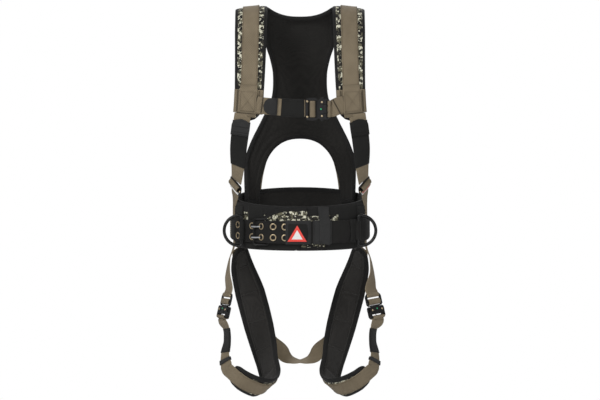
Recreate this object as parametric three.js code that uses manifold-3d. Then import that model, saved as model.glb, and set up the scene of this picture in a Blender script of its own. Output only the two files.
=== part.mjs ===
// Full-body safety harness: padded back and shoulders, tool belt with a waist pad, padded leg loops.
// Millimetres, +Z up. The wearer faces -Y, so the wearer's left is +X.
// Heights are counted from the lowest point of the leg loops until the last lines,
// where everything is moved so that the origin is the dorsal ring's seat on the back.
import * as THREE from "three";
import { mergeVertices } from "three/addons/utils/BufferGeometryUtils.js";
import Module from "manifold-3d";

const wasm = await Module();
wasm.setup();

// Webbing and padding
const webbingWidth = 45;
const webbingThickness = 2.4;
const beltWidth = 60;
const beltThickness = 3;
const padThickness = 11;
const sleeveWall = 1.6;
const clearance = 0.4;
const sideGap = 1;

// The harness as it is worn
const crestHeight = 1048;
const shoulderSpacing = 262;
const chestHeight = 783;
const chestDepth = 110;
const backDepth = 108;
const backPadThickness = 12;
const shoulderPadWidth = 84;

// Waist
const waistHalfWidth = 178;
const waistHalfDepth = 130;
const waistHeight = 455;
const waistPadHeight = 115;
const waistPadThickness = 13;
const waistPadBackRise = 29;
const beltTilt = 24;
const beltDrop = 10;

// Belt buckle
const buckleWire = 2.4;
const prongWire = 2;
const prongSpacing = 29;
const eyeWall = 1.5;
const eyeWidth = 6;
const runningGap = 0.3;
const barAngle = -27.5;
const farBarAngle = -41;
const tailEndAngle = 46;

// Angles at which straps pass under the belt
const hipStrapAngle = 87;
const backStrapAngle = 136;

// Side rings and dorsal ring
const ringWire = 4.25;
const sideRingHeight = 81.5;
const sideRingDepth = 47.5;
const sideRingAngle = 54;
const dorsalRingHeight = 58;
const dorsalRingDepth = 52;
const dorsalHeight = 890;
const dorsalPlateWidth = 104;
const dorsalPlateHeight = 96;
const dorsalPlateThickness = 5;
const ringCornerRadius = 6.5;

// Quick-connect buckles
const connectorWidth = 60;
const connectorBodyWidth = 54;
const frameLength = 34;
const housingLength = 31;
const housingThickness = 13;
const tongueThickness = 4;
const noseWidth = 34;
const noseLength = 19;
const notchDepth = 3;
const strapSlot = 9;
const slotWall = 6;
const leverWidth = 9;
const leverThickness = 5;
const leverReach = 3.4;
const leverTravel = 3;

// Leg loops
const legSpacing = 262;
const legPadWidth = 80;
const legBuckleTurn = { left: 46, right: 64 };

const adjusterWidth = 57;
const adjusterLength = 30;
const adjusterThickness = 3;
const adjusterBar = 5;

const degrees = Math.PI / 180;
const vector = (x, y, z) => new THREE.Vector3(x, y, z);
const mix = THREE.MathUtils.lerp;

// ---- geometry helpers ----

// Signed volume of an indexed geometry: negative when its faces point inwards.
function signedVolume(geometry) {
  const place = geometry.getAttribute("position");
  const order = geometry.index.array;
  const corners = [vector(), vector(), vector()];
  let volume = 0;
  for (let i = 0; i < order.length; i += 3) {
    corners.forEach((corner, j) => corner.fromBufferAttribute(place, order[i + j]));
    volume += corners[0].dot(corners[1].clone().cross(corners[2])) / 6;
  }
  return volume;
}

function facingOut(geometry) {
  if (signedVolume(geometry) > 0) return geometry;
  const order = geometry.index.array;
  for (let i = 0; i < order.length; i += 3) {
    const kept = order[i + 1];
    order[i + 1] = order[i + 2];
    order[i + 2] = kept;
  }
  return geometry;
}

// A closed solid through rings of points. Each ring lists its outer side, then its inner side back.
function loft(rings, closed = false) {
  const count = rings[0].length;
  const order = [];
  const spans = closed ? rings.length : rings.length - 1;
  for (let i = 0; i < spans; i++) {
    const here = i * count;
    const next = ((i + 1) % rings.length) * count;
    for (let j = 0; j < count; j++) {
      const k = (j + 1) % count;
      // Both sides split their twisted faces along the same diagonal, so that layers stay parallel.
      if (j < count / 2) order.push(here + j, here + k, next + k, here + j, next + k, next + j);
      else order.push(here + j, here + k, next + j, here + k, next + k, next + j);
    }
  }
  if (!closed) {
    for (const [start, turned] of [[0, true], [spans * count, false]]) {
      for (let j = 0; j < count / 2 - 1; j++) {
        const [a, b] = [start + j, start + j + 1];
        const [c, d] = [start + count - 2 - j, start + count - 1 - j];
        if (turned) order.push(a, c, b, a, d, c);
        else order.push(a, b, c, a, c, d);
      }
    }
  }
  const geometry = new THREE.BufferGeometry();
  geometry.setAttribute(
    "position",
    new THREE.Float32BufferAttribute(rings.flat().flatMap((p) => [p.x, p.y, p.z]), 3),
  );
  geometry.setIndex(order);
  return facingOut(geometry);
}

function bare(geometry) {
  const copy = geometry.clone();
  for (const name of Object.keys(copy.attributes)) {
    if (name !== "position") copy.deleteAttribute(name);
  }
  return mergeVertices(copy, 1e-4);
}

function solidOf(geometry) {
  const merged = bare(geometry);
  return new wasm.Manifold(
    new wasm.Mesh({
      numProp: 3,
      vertProperties: new Float32Array(merged.getAttribute("position").array),
      triVerts: new Uint32Array(merged.index.array),
    }),
  );
}

function geometryOf(solid) {
  const mesh = solid.getMesh();
  const geometry = new THREE.BufferGeometry();
  geometry.setAttribute("position", new THREE.BufferAttribute(mesh.vertProperties, 3));
  geometry.setIndex(new THREE.BufferAttribute(mesh.triVerts, 1));
  return geometry;
}

function cut(base, ...tools) {
  return geometryOf(tools.reduce((solid, tool) => solid.subtract(solidOf(tool)), solidOf(base)));
}

function join(base, ...others) {
  return geometryOf(others.reduce((solid, other) => solid.add(solidOf(other)), solidOf(base)));
}

function mirrored(geometry) {
  return facingOut(bare(geometry).scale(-1, 1, 1));
}

// Frames along a smooth line through stations { at, outward, width, curl }.
function framesAlong(stations, stepsBetween) {
  const curve = new THREE.CatmullRomCurve3(
    stations.map((station) => vector(...station.at)),
    false,
    "centripetal",
  );
  const spans = stations.length - 1;
  const frames = [];
  for (let i = 0; i <= spans * stepsBetween; i++) {
    const index = Math.min(Math.floor(i / stepsBetween), spans - 1);
    const weight = i / stepsBetween - index;
    const [from, to] = [stations[index], stations[index + 1]];
    const share = i / (spans * stepsBetween);
    frames.push(
      frameOf(
        curve.getPoint(share),
        curve.getTangent(share),
        vector(...from.outward).normalize().lerp(vector(...to.outward).normalize(), weight),
        mix(from.width ?? webbingWidth, to.width ?? webbingWidth, weight),
        mix(from.curl ?? 0, to.curl ?? 0, weight),
      ),
    );
  }
  return frames;
}

function frameOf(origin, direction, facing, width = webbingWidth, curl = 0) {
  const along = direction.clone().normalize();
  const across = along.clone().cross(facing).normalize();
  const outward = across.clone().cross(along);
  return { origin, along, across, outward, width, curl };
}

// The same frame moved along its own directions.
function shifted(frame, outward, along = 0, across = 0) {
  const origin = frame.origin
    .clone()
    .addScaledVector(frame.outward, outward)
    .addScaledVector(frame.along, along)
    .addScaledVector(frame.across, across);
  return { ...frame, origin };
}

function withWidth(frames, width) {
  return frames.map((frame) => ({ ...frame, width }));
}

// Frames with both ends carried on by a length, for tools that have to pass right through.
function carriedOn(frames, length) {
  return [shifted(frames[0], 0, -length), ...frames, shifted(frames.at(-1), 0, length)];
}

// A flat strip along frames: a strap, or a pad when its edges are thinned.
function band(frames, thickness, edgeInset = 0) {
  const curled = frames.some((frame) => frame.curl > 0);
  const rings = frames.map(({ origin, across, outward, width, curl }) => {
    const half = width / 2;
    let columns = curled ? [-1, -0.5, 0, 0.5, 1] : [-1, 1];
    if (edgeInset > 0) {
      const inner = Math.min(webbingWidth / 2 / half, 1 - edgeInset / half / 3);
      columns = [-1, -inner, inner, 1];
    }
    const point = (u, side) => {
      const thin = edgeInset > 0 && Math.abs(u) === 1 ? 0.4 : 1;
      const height = (side * thin * thickness) / 2 - curl * u * u;
      return origin
        .clone()
        .addScaledVector(across, u * half)
        .addScaledVector(outward, height);
    };
    return [
      ...columns.map((u) => point(u, 1)),
      ...[...columns].reverse().map((u) => point(u, -1)),
    ];
  });
  return loft(rings);
}

// A sleeve around a strip that is low..high thick about the frames and width wide.
function sleeve(frames, width, low, high, wall = sleeveWall) {
  const middle = (low + high) / 2;
  const inside = frames.map((frame) => shifted({ ...frame, width: width + 2 * clearance }, middle));
  const outside = inside.map((frame) => ({ ...frame, width: frame.width + 2 * wall }));
  const depth = high - low + 2 * clearance;
  return cut(band(outside, depth + 2 * wall), band(carriedOn(inside, 5), depth));
}

// A round wire along a flat closed outline, in the outline's own plane.
function wireLoop(outline, radius, sides = 8, divisions = 8) {
  const points = outline.getPoints(divisions);
  if (points[0].distanceTo(points.at(-1)) < 0.01) points.pop();
  const distinct = points.filter((p, i) => p.distanceTo(points.at(i - 1)) > 0.01);
  const rings = distinct.map((p, i) => {
    const before = distinct.at(i - 1);
    const after = distinct[(i + 1) % distinct.length];
    const normal = new THREE.Vector2(before.y - after.y, after.x - before.x).normalize();
    return Array.from({ length: sides }, (_, j) => {
      const turn = ((j + 0.5) / sides) * 2 * Math.PI;
      const reach = radius * Math.cos(turn);
      return vector(p.x + normal.x * reach, p.y + normal.y * reach, radius * Math.sin(turn));
    });
  });
  return loft(rings, true);
}

// A round wire along a line of points, straight between them.
function wire(points, radius, sides = 8) {
  const curve = new THREE.CatmullRomCurve3(points, false, "centripetal");
  const steps = (points.length - 1) * 3;
  const { normals, binormals } = curve.computeFrenetFrames(steps, false);
  const rings = normals.map((normal, i) => {
    const centre = curve.getPointAt(i / steps);
    return Array.from({ length: sides }, (_, j) => {
      const turn = ((j + 0.5) / sides) * 2 * Math.PI;
      return centre
        .clone()
        .addScaledVector(normal, radius * Math.cos(turn))
        .addScaledVector(binormals[i], radius * Math.sin(turn));
    });
  });
  return loft(rings);
}

// Local X goes across the strap, local Y along it and local Z outwards.
function placed(geometry, frame) {
  const matrix = new THREE.Matrix4().makeBasis(frame.across, frame.along, frame.outward);
  return bare(geometry).applyMatrix4(matrix.setPosition(frame.origin));
}

function roundedRectangle(width, length, radius, x = 0, y = 0) {
  const shape = new THREE.Shape();
  const [right, top] = [width / 2 - radius, length / 2 - radius];
  shape.absarc(x + right, y + top, radius, 0, Math.PI / 2);
  shape.absarc(x - right, y + top, radius, Math.PI / 2, Math.PI);
  shape.absarc(x - right, y - top, radius, Math.PI, 1.5 * Math.PI);
  shape.absarc(x + right, y - top, radius, 1.5 * Math.PI, 2 * Math.PI);
  shape.closePath();
  return shape;
}

function plate(shape, thickness, corners = 3) {
  const geometry = new THREE.ExtrudeGeometry(shape, {
    depth: thickness,
    bevelEnabled: false,
    curveSegments: corners,
  });
  return geometry.translate(0, 0, -thickness / 2);
}

function block(width, length, thickness, x = 0, y = 0, z = 0) {
  return new THREE.BoxGeometry(width, length, thickness).translate(x, y, z);
}

// A ring's outline: a straight bar at X = 0 and a half round bow on the +X side.
function ringOutline(height, depth) {
  const half = height / 2;
  const corner = ringCornerRadius;
  const outline = new THREE.Path();
  outline.moveTo(0, -half + corner);
  outline.lineTo(0, half - corner);
  outline.absarc(corner, half - corner, corner, Math.PI, Math.PI / 2, true);
  outline.lineTo(depth - half, half);
  outline.absarc(depth - half, 0, half, Math.PI / 2, -Math.PI / 2, true);
  outline.lineTo(corner, -half);
  outline.absarc(corner, -half + corner, corner, -Math.PI / 2, -Math.PI, true);
  return outline;
}

// ---- materials ----

const material = (color, roughness, metalness = 0) =>
  new THREE.MeshStandardMaterial({ color, roughness, metalness });
const tanWebbing = material(0x7d6f58, 0.9);
const blackWebbing = material(0x222221, 0.9);
const padMesh = material(0x1c1b19, 0.95);
const camoFabric = material(0x6e6c50, 0.9);
const blackMetal = material(0x141416, 0.35, 0.8);
const brightMetal = material(0xb9bcc0, 0.3, 1);
const moulded = material(0x18181a, 0.5);
const patchRed = material(0xc8281e, 0.5);

const worn = new THREE.Group();

function add(name, geometry, surface) {
  const mesh = new THREE.Mesh(geometry, surface);
  mesh.name = name;
  worn.add(mesh);
}

// A piece on the wearer's left, made by side, and its mirror image on the right.
function addPair(name, surface, make) {
  add("left_" + name, make("left"), surface);
  add("right_" + name, mirrored(make("right")), surface);
}

// ---- layers that sit on each other ----

const onPad = padThickness / 2 + clearance + webbingThickness / 2;
const webbingTop = onPad + webbingThickness / 2;

// ---- back and shoulders ----

// How far back the back pad's middle surface lies at a height, before its sides wrap forwards.
const backLine = new THREE.SplineCurve(
  [
    [420, 116],
    [560, 112],
    [700, 106],
    [800, 110],
    [900, 107],
    [960, 97],
    [1010, 76],
    [1050, 40],
  ].map(([height, depth]) => new THREE.Vector2(height, depth)),
);
const backSamples = backLine.getPoints(120);

// Towards the waist the surface comes forwards to lie inside the waist pad.
function backSurface(x, z) {
  const after = backSamples.findIndex((sample) => sample.x >= z);
  const here = backSamples[after === -1 ? backSamples.length - 1 : Math.max(after, 1)];
  const before = backSamples[backSamples.indexOf(here) - 1];
  const share = THREE.MathUtils.clamp((z - before.x) / (here.x - before.x), 0, 1);
  const depth = mix(before.y, here.y, share) + backDepth - 108 - (x * x) / 680;
  const lining = waistPadThickness + backPadThickness / 2 + 2;
  const reach = Math.min(Math.abs(x) / (waistHalfWidth - lining), 0.96);
  const inside = (waistHalfDepth - lining) * Math.sqrt(1 - reach * reach);
  return mix(inside, depth, THREE.MathUtils.smoothstep(z, waistHeight + 112, waistHeight + 215));
}

// The back pad's outline, right half from the neck down: shoulders, waist of the pad, hip leg, arch.
const backPadHalf = [
  [0, 1028],
  [28, 1031],
  [60, 1041],
  [88, 1053],
  [92, 1000],
  [92, 955],
  [80, 915],
  [72, 870],
  [76, 810],
  [100, 755],
  [132, 690],
  [149, 640],
  [150, 600],
  [148, 530],
  [116, 522],
  [112, 570],
  [97, 615],
  [73, 653],
  [40, 684],
  [0, 696],
];

function backPad() {
  const shape = new THREE.Shape();
  const lift = (z) => z + (z - waistHeight) * ((crestHeight - 1048) / (1048 - waistHeight));
  const half = backPadHalf.map(([x, z]) => [x, lift(z)]);
  half.forEach(([x, z], i) => (i ? shape.lineTo(x, z) : shape.moveTo(x, z)));
  [...half].slice(1, -1).reverse().forEach(([x, z]) => shape.lineTo(-x, z));
  shape.closePath();
  return bentPanel(shape, backPadThickness, 8);
}

// A flat panel in strips one above the other, bent to the back's surface.
function bentPanel(shape, thickness, strips) {
  const flat = solidOf(plate(shape, thickness));
  const box = new THREE.Box2().setFromPoints(shape.getPoints());
  const side = (box.max.x - box.min.x) / 6;
  const height = (box.max.y - box.min.y) / (strips * 2);
  const cells = [];
  for (let x = box.min.x; x < box.max.x - 0.1; x += side) {
    for (let z = box.min.y; z < box.max.y - 0.1; z += height) cells.push([x, z]);
  }
  const tiles = cells.map(([x, z]) =>
    flat.intersect(solidOf(block(side, height, 4 * thickness, x + side / 2, z + height / 2))),
  );
  const whole = geometryOf(tiles.reduce((sum, tile) => sum.add(tile)));
  const place = whole.getAttribute("position");
  for (let i = 0; i < place.count; i++) {
    const [x, z, across] = [place.getX(i), place.getY(i), place.getZ(i)];
    place.setXYZ(i, x, backSurface(x, z) + across, z);
  }
  return facingOut(whole);
}

const shoulderX = shoulderSpacing / 2;
const rise = crestHeight - chestHeight;
const padShare = shoulderPadWidth / 82;
const shoulderFrames = framesAlong(
  [
    { at: [shoulderX + 10, -chestDepth + 2, chestHeight - 36], outward: [0.18, -1, 0], width: 50 },
    { at: [shoulderX + 7, -chestDepth, chestHeight], outward: [0.18, -1, 0], width: 72 },
    { at: [shoulderX + 4, -chestDepth, chestHeight + 60], outward: [0.18, -1, 0], width: 76 },
    {
      at: [shoulderX + 2, -chestDepth + 5, chestHeight + 0.5 * rise],
      outward: [0.16, -1, 0.1],
      width: 79,
    },
    {
      at: [shoulderX + 1, -chestDepth * 0.78, chestHeight + 0.76 * rise],
      outward: [0.12, -1, 0.5],
      width: 81,
    },
    {
      at: [shoulderX, -chestDepth * 0.44, chestHeight + 0.94 * rise],
      outward: [0.1, -0.5, 1],
      width: 82,
    },
    { at: [shoulderX, -5, crestHeight], outward: [0.1, 0, 1], width: 82 },
    { at: [shoulderX - 1, backDepth * 0.36, crestHeight - 12], outward: [0.1, 0.5, 1], width: 78 },
    { at: [shoulderX - 9, backDepth * 0.62, crestHeight - 38], outward: [0.1, 1, 0.6], width: 56 },
  ].map((station) => ({ ...station, width: station.width * padShare })),
  4,
);
const chestBox = { from: 2, to: 7 };
const padEnd = 32;

function shoulderPad() {
  return band(shoulderFrames.slice(0, padEnd), padThickness, 9);
}

// ---- waist line: everything at the waist lies at an angle from the front and an offset ----

function waistShare(angle) {
  return (1 - Math.cos(angle * degrees)) / 2;
}

function waistFrame(angle, offset, height, width) {
  const turn = angle * degrees;
  const origin = vector(
    (waistHalfWidth + offset) * Math.sin(turn),
    -(waistHalfDepth + offset) * Math.cos(turn),
    height,
  );
  const along = vector(waistHalfWidth * Math.cos(turn), waistHalfDepth * Math.sin(turn), 0);
  const facing = vector(Math.sin(turn) / waistHalfWidth, -Math.cos(turn) / waistHalfDepth, 0);
  return frameOf(origin, along, facing, width);
}

const waistLow = (angle) => waistHeight - waistPadHeight / 2 + beltTilt * waistShare(angle);
const waistHigh = (angle) => {
  return waistHeight + waistPadHeight / 2 + (beltTilt + waistPadBackRise) * waistShare(angle);
};
const beltHeight = (angle) => waistHeight - beltDrop + beltTilt * waistShare(angle);

// A strap's place between the waist pad and the belt, bent to the waist's curve there.
const underBeltOffset = sideGap + webbingThickness / 2;

function underBelt(angle, height) {
  const { origin, outward } = waistFrame(angle, underBeltOffset, height);
  const turn = angle * degrees;
  const [a, b] = [waistHalfWidth, waistHalfDepth];
  const radius = ((a * Math.cos(turn)) ** 2 + (b * Math.sin(turn)) ** 2) ** 1.5 / (a * b);
  return {
    at: origin.toArray(),
    outward: outward.toArray(),
    curl: webbingWidth ** 2 / 8 / radius,
  };
}

// ---- back webbing and dorsal ring ----

const dorsalY = backSurface(0, dorsalHeight) + backPadThickness / 2;
const innerLayer = 3 * clearance + webbingThickness / 2;
const layerStep = webbingThickness + clearance;

// From the shoulder pad's back end to the dorsal plate, across it and down to the other hip.
function backWebbing(side) {
  const crossing = side === "left" ? innerLayer : innerLayer + 2 * layerStep;
  const fall = dorsalHeight - waistHeight;
  const onBack = (x, z, layer, outward) => ({
    at: [x, backSurface(x, z) + backPadThickness / 2 + layer, z],
    outward,
  });
  const shoulderEnd = shoulderFrames
    .slice(chestBox.from + 1, padEnd + 1)
    .map((frame) => shifted({ ...frame, width: webbingWidth }, onPad));
  const last = shoulderEnd.at(-1).origin;
  const downFrames = framesAlong(
    [
      { at: last.toArray(), outward: [0.15, 1, 0.1] },
      onBack(88, dorsalHeight + 96, 7, [0.12, 1, 0.3]),
      onBack(42, dorsalHeight + 48, crossing + 2, [0.05, 1, 0.1]),
      onBack(0, dorsalHeight, crossing, [0, 1, 0]),
      onBack(-27, dorsalHeight - 28, crossing, [-0.03, 1, 0]),
      onBack(-58, dorsalHeight - 0.21 * fall, 5, [-0.16, 1, 0]),
      onBack(-84, dorsalHeight - 0.38 * fall, 5, [-0.26, 1, 0]),
      onBack(-105, dorsalHeight - 0.52 * fall, 5, [-0.32, 1, 0]),
      { at: [-120, waistHalfDepth - 35, waistHeight + 150], outward: [-0.42, 1, 0] },
      underBelt(-backStrapAngle, waistHeight + 100),
      underBelt(-backStrapAngle, waistHeight + 60),
      underBelt(-backStrapAngle, waistHeight + 20),
    ],
    4,
  );
  return band([...shoulderEnd, ...downFrames.slice(1)], webbingThickness);
}

const dorsalBack = dorsalY + innerLayer + 3 * layerStep;
const dorsalFrame = frameOf(
  vector(0, dorsalBack + dorsalPlateThickness / 2, dorsalHeight),
  vector(0, 0, 1),
  vector(0, 1, 0),
);
const dorsalBarRise = 14;
const dorsalBarOut = dorsalPlateThickness / 2 + clearance + ringWire + 2;

function dorsalPlate() {
  const outline = roundedRectangle(dorsalPlateWidth, dorsalPlateHeight, 14);
  const slot = [webbingWidth * 0.9, 5];
  outline.holes.push(roundedRectangle(...slot, 2, 0, dorsalPlateHeight / 2 - 12));
  outline.holes.push(roundedRectangle(...slot, 2, 0, -dorsalPlateHeight / 2 + 12));
  const saddle = block(34, 17, dorsalBarOut + ringWire + 3, 0, dorsalBarRise, 0)
    .translate(0, 0, (dorsalBarOut + ringWire + 3) / 2);
  const bore = new THREE.CylinderGeometry(ringWire + runningGap, ringWire + runningGap, 60, 16)
    .rotateZ(Math.PI / 2)
    .translate(0, dorsalBarRise, dorsalBarOut);
  const solid = cut(join(plate(outline, dorsalPlateThickness), saddle), bore);
  return placed(solid, dorsalFrame);
}

function dorsalRing() {
  const loop = wireLoop(ringOutline(dorsalRingHeight, dorsalRingDepth), ringWire, 8, 5);
  loop.rotateZ(-Math.PI / 2);
  return placed(loop.translate(0, dorsalBarRise, dorsalBarOut), dorsalFrame);
}

add("back_pad", backPad(), padMesh);
addPair("shoulder_pad", camoFabric, shoulderPad);
addPair("shoulder_webbing", tanWebbing, backWebbing);
add("dorsal_plate", dorsalPlate(), moulded);
add("dorsal_ring", dorsalRing(), blackMetal);

// ---- chest ----

const boxFrames = shoulderFrames.slice(chestBox.from, chestBox.to + 1);

function chestLoop() {
  const width = Math.max(...boxFrames.map((frame) => frame.width));
  return sleeve(withWidth(boxFrames, width), width, -padThickness / 2, webbingTop);
}

const loopTop = webbingTop + clearance + sleeveWall;
const loopFrame = shoulderFrames[5];
const loopFront = shifted(loopFrame, loopTop + 2 * clearance + webbingThickness / 2).origin;
const loopSlope = 0.18;
const connectorX = 49;
const connectorHeight = chestHeight - 8;
const tongueEnd = connectorX - frameLength;
const housingEnd = connectorX + housingLength;
const loopInnerX = 90;

// Where a strap lies on the chest loop's slanted front face.
const chestLine = (x) => loopFront.y + loopSlope * (Math.max(x, loopInnerX) - loopFront.x);
const chestStrapY = chestLine(0);
const chestDirection = vector(1, 0, 0);
const forwards = vector(0, -1, 0);

function chestStrapFrames(side) {
  const inner = side === "left" ? housingEnd + 1 : 1 - tongueEnd;
  const line = [
    [inner, connectorHeight + 2],
    [inner + 6, connectorHeight + 2],
    ...(side === "left" ? [] : [[24, connectorHeight + 3], [50, connectorHeight + 5], [78, chestHeight - 1]]),
    [104, chestHeight + 2],
    [shoulderX - 4, chestHeight + 7],
    [shoulderX + 20, chestHeight + 10],
  ];
  const slant = (x) => (x > loopInnerX ? loopSlope : 0);
  return framesAlong(
    line.map(([x, z]) => ({ at: [x, chestLine(x), z], outward: [slant(x), -1, 0] })),
    4,
  );
}

function chestStrap(side) {
  return band(chestStrapFrames(side), webbingThickness);
}

function chestSleeve() {
  const half = webbingThickness / 2;
  return mirrored(sleeve(chestStrapFrames("right").slice(2, 13), webbingWidth, -half, half));
}

function chestTab() {
  const shape = new THREE.Shape();
  const half = webbingWidth / 2;
  shape.moveTo(half, -8);
  shape.lineTo(half, 4);
  shape.absarc(0, 4, half, 0, Math.PI);
  shape.lineTo(-half, -8);
  shape.closePath();
  const onStrap = webbingThickness / 2 + 2 * clearance + 1.25;
  return mirrored(placed(plate(shape, 2.5, 6), shifted(chestStrapFrames("right")[15], onStrap)));
}

// ---- quick-connect buckle, in its own frame: Y = 0 is the housing's mouth ----

function tongue() {
  const half = connectorWidth / 2;
  const nose = noseWidth / 2;
  const shape = new THREE.Shape();
  shape.absarc(-half + 9, -frameLength + 9, 9, Math.PI, 1.5 * Math.PI);
  shape.absarc(half - 9, -frameLength + 9, 9, 1.5 * Math.PI, 2 * Math.PI);
  shape.lineTo(half, -6);
  shape.lineTo(half - 5, -1);
  shape.lineTo(nose, -1);
  shape.lineTo(nose, 4);
  shape.lineTo(nose - notchDepth, 4);
  shape.lineTo(nose - notchDepth, 16);
  shape.lineTo(nose - 2, noseLength);
  shape.lineTo(-nose + 2, noseLength);
  shape.lineTo(-nose + notchDepth, 16);
  shape.lineTo(-nose + notchDepth, 4);
  shape.lineTo(-nose, 4);
  shape.lineTo(-nose, -1);
  shape.lineTo(-half + 5, -1);
  shape.lineTo(-half, -6);
  shape.closePath();
  const window = [webbingWidth + 2, strapSlot * 2 + slotWall];
  shape.holes.push(roundedRectangle(...window, 2, 0, -frameLength + slotWall + window[1] / 2));
  return plate(shape, tongueThickness);
}

function slideBar() {
  const centre = -frameLength + slotWall + strapSlot + slotWall / 2;
  return plate(roundedRectangle(webbingWidth + 2 - 2 * clearance, slotWall, 1.5), 5)
    .translate(0, centre, 0);
}

function housing() {
  const body = plate(
    roundedRectangle(connectorBodyWidth, housingLength, 6, 0, housingLength / 2),
    housingThickness,
  );
  const cavity = block(
    noseWidth + 2 * clearance,
    noseLength + clearance + 1,
    tongueThickness + 2 * clearance,
    0,
    (noseLength + clearance - 1) / 2,
  );
  const channel = block(
    connectorBodyWidth + 2,
    leverWidth + 2 * clearance,
    leverThickness + 2 * clearance,
    0,
    10,
  );
  const strapWindow = block(webbingWidth + 2, 6, 2 * housingThickness, 0, housingLength - 7);
  return cut(body, cavity, channel, strapWindow);
}

// A release lever on the +X side; it is pressed towards the middle.
function lever() {
  const inner = noseWidth / 2 - notchDepth + leverTravel + 2 * clearance;
  const outer = connectorBodyWidth / 2 + leverReach;
  const shape = new THREE.Shape();
  shape.moveTo(inner, 10 - leverWidth / 2);
  shape.lineTo(outer - 3, 10 - leverWidth / 2);
  shape.absarc(outer - 3, 10, leverWidth / 2, -Math.PI / 2, Math.PI / 2);
  shape.lineTo(inner, 10 + leverWidth / 2);
  shape.closePath();
  return plate(shape, leverThickness);
}

function addConnector(prefix, frame, turned = (geometry) => geometry, withBar = false) {
  const piece = (geometry) => turned(placed(geometry, frame));
  add(prefix + "_buckle_tongue", piece(tongue()), blackMetal);
  add(prefix + "_buckle_housing", piece(housing()), blackMetal);
  if (withBar) add(prefix + "_buckle_slide_bar", piece(slideBar()), blackMetal);
  add(prefix + "_release_lever_a", piece(lever()), blackMetal);
  add(prefix + "_release_lever_b", piece(lever().rotateY(Math.PI)), blackMetal);
}

addPair("chest_loop", tanWebbing, chestLoop);
addPair("chest_strap", tanWebbing, chestStrap);
add("chest_strap_sleeve", chestSleeve(), blackWebbing);
add("chest_strap_tab", chestTab(), blackWebbing);
addConnector(
  "chest",
  frameOf(vector(connectorX, chestStrapY, connectorHeight), chestDirection, forwards),
  undefined,
  true,
);

// ---- waist ----

function anglesBetween(from, to, step) {
  const count = Math.max(1, Math.round((to - from) / step));
  return Array.from({ length: count + 1 }, (_, i) => from + ((to - from) * i) / count);
}

function waistPad() {
  const frames = anglesBetween(-3, 356, 7.5).map((angle) => {
    const [low, high] = [waistLow(angle), waistHigh(angle)];
    return waistFrame(angle, -waistPadThickness / 2, (low + high) / 2, high - low);
  });
  return band(frames, waistPadThickness, 9);
}

// Offsets of the belt's middle surface outside the waist pad
const beltInner = sideGap + webbingThickness + sideGap + beltThickness / 2;
const beltOuter = beltInner + beltThickness + 1.5 * clearance;
const barOffset = beltInner + 1;
const eyeRadius = buckleWire + runningGap + eyeWall;
const overBar = barOffset + eyeRadius + clearance + beltThickness / 2;
const farBarOffset = beltInner + beltThickness / 2 + 2 * clearance + buckleWire;

const beltAt = (angle, offset) => waistFrame(angle, offset, beltHeight(angle), beltWidth);

const ease = (value, from, to) => THREE.MathUtils.smoothstep(value, from, to);

function tailOffset(angle) {
  const up = mix(beltInner, overBar, ease(angle, farBarAngle + 2, barAngle - 3));
  return mix(up, beltOuter, ease(angle, barAngle + 5, barAngle + 16));
}

// The belt starts behind its buckle, goes once round the waist and ends as the punched tail.
const buckleFrame = (() => {
  const bar = beltAt(barAngle, barOffset);
  const far = beltAt(farBarAngle, farBarOffset);
  const towardsFar = far.origin.clone().sub(bar.origin);
  towardsFar.z = 0;
  return { ...frameOf(bar.origin, towardsFar, bar.outward), length: towardsFar.length() };
})();

function prongSlot(height) {
  const [near, end] = [6, 36];
  const slot = block(2 * prongWire + 3, end - near, 40, height, (near + end) / 2, 0);
  return placed(slot, buckleFrame);
}

function waistBelt() {
  const start = barAngle + 4;
  const frames = [
    ...anglesBetween(start, 360 + farBarAngle - 4, 7).map((angle) => beltAt(angle, beltInner)),
    ...anglesBetween(farBarAngle, barAngle + 20, 2.4).map((angle) => beltAt(angle, tailOffset(angle))),
    ...anglesBetween(barAngle + 25, tailEndAngle, 7).map((angle) => beltAt(angle, beltOuter)),
  ];
  return cut(
    band(frames, beltThickness),
    prongSlot(-prongSpacing / 2),
    prongSlot(prongSpacing / 2),
  );
}

function buckleLoop() {
  const half = beltWidth / 2 + buckleWire + 1.5;
  const corner = 5;
  const outline = new THREE.Path();
  const { length } = buckleFrame;
  outline.moveTo(-half + corner, 0);
  outline.lineTo(half - corner, 0);
  outline.absarc(half - corner, corner, corner, -Math.PI / 2, 0);
  outline.lineTo(half, length - corner);
  outline.absarc(half - corner, length - corner, corner, 0, Math.PI / 2);
  outline.lineTo(-half + corner, length);
  outline.absarc(-half + corner, length - corner, corner, Math.PI / 2, Math.PI);
  outline.lineTo(-half, corner);
  outline.absarc(-half + corner, corner, corner, Math.PI, 1.5 * Math.PI);
  return placed(wireLoop(outline, buckleWire, 8, 4), buckleFrame);
}

function prong(height) {
  const resting = buckleWire + runningGap + prongWire;
  const { length } = buckleFrame;
  const shaft = wire(
    [
      vector(0, eyeRadius - 0.6, 0),
      vector(0, 12, 0.5),
      vector(0, 20, 1.4),
      vector(0, length - 11, resting - 1),
      vector(0, length - 3, resting),
      vector(0, length + 5, resting),
    ],
    prongWire,
  );
  const ring = (radius, width) =>
    new THREE.CylinderGeometry(radius, radius, width, 16).rotateZ(Math.PI / 2);
  const solid = cut(join(ring(eyeRadius, eyeWidth), shaft), ring(buckleWire + runningGap, 20));
  return placed(solid.translate(height, 0, 0), buckleFrame);
}

function beltKeeper(from, to) {
  const frames = anglesBetween(from, to, 5).map((angle) => beltAt(angle, 0));
  const half = beltThickness / 2;
  return sleeve(frames, beltWidth, beltInner - half, beltOuter + half);
}

const patchAngle = -1.5;
const keeperTop = beltOuter + beltThickness / 2 + clearance + sleeveWall;

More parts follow.
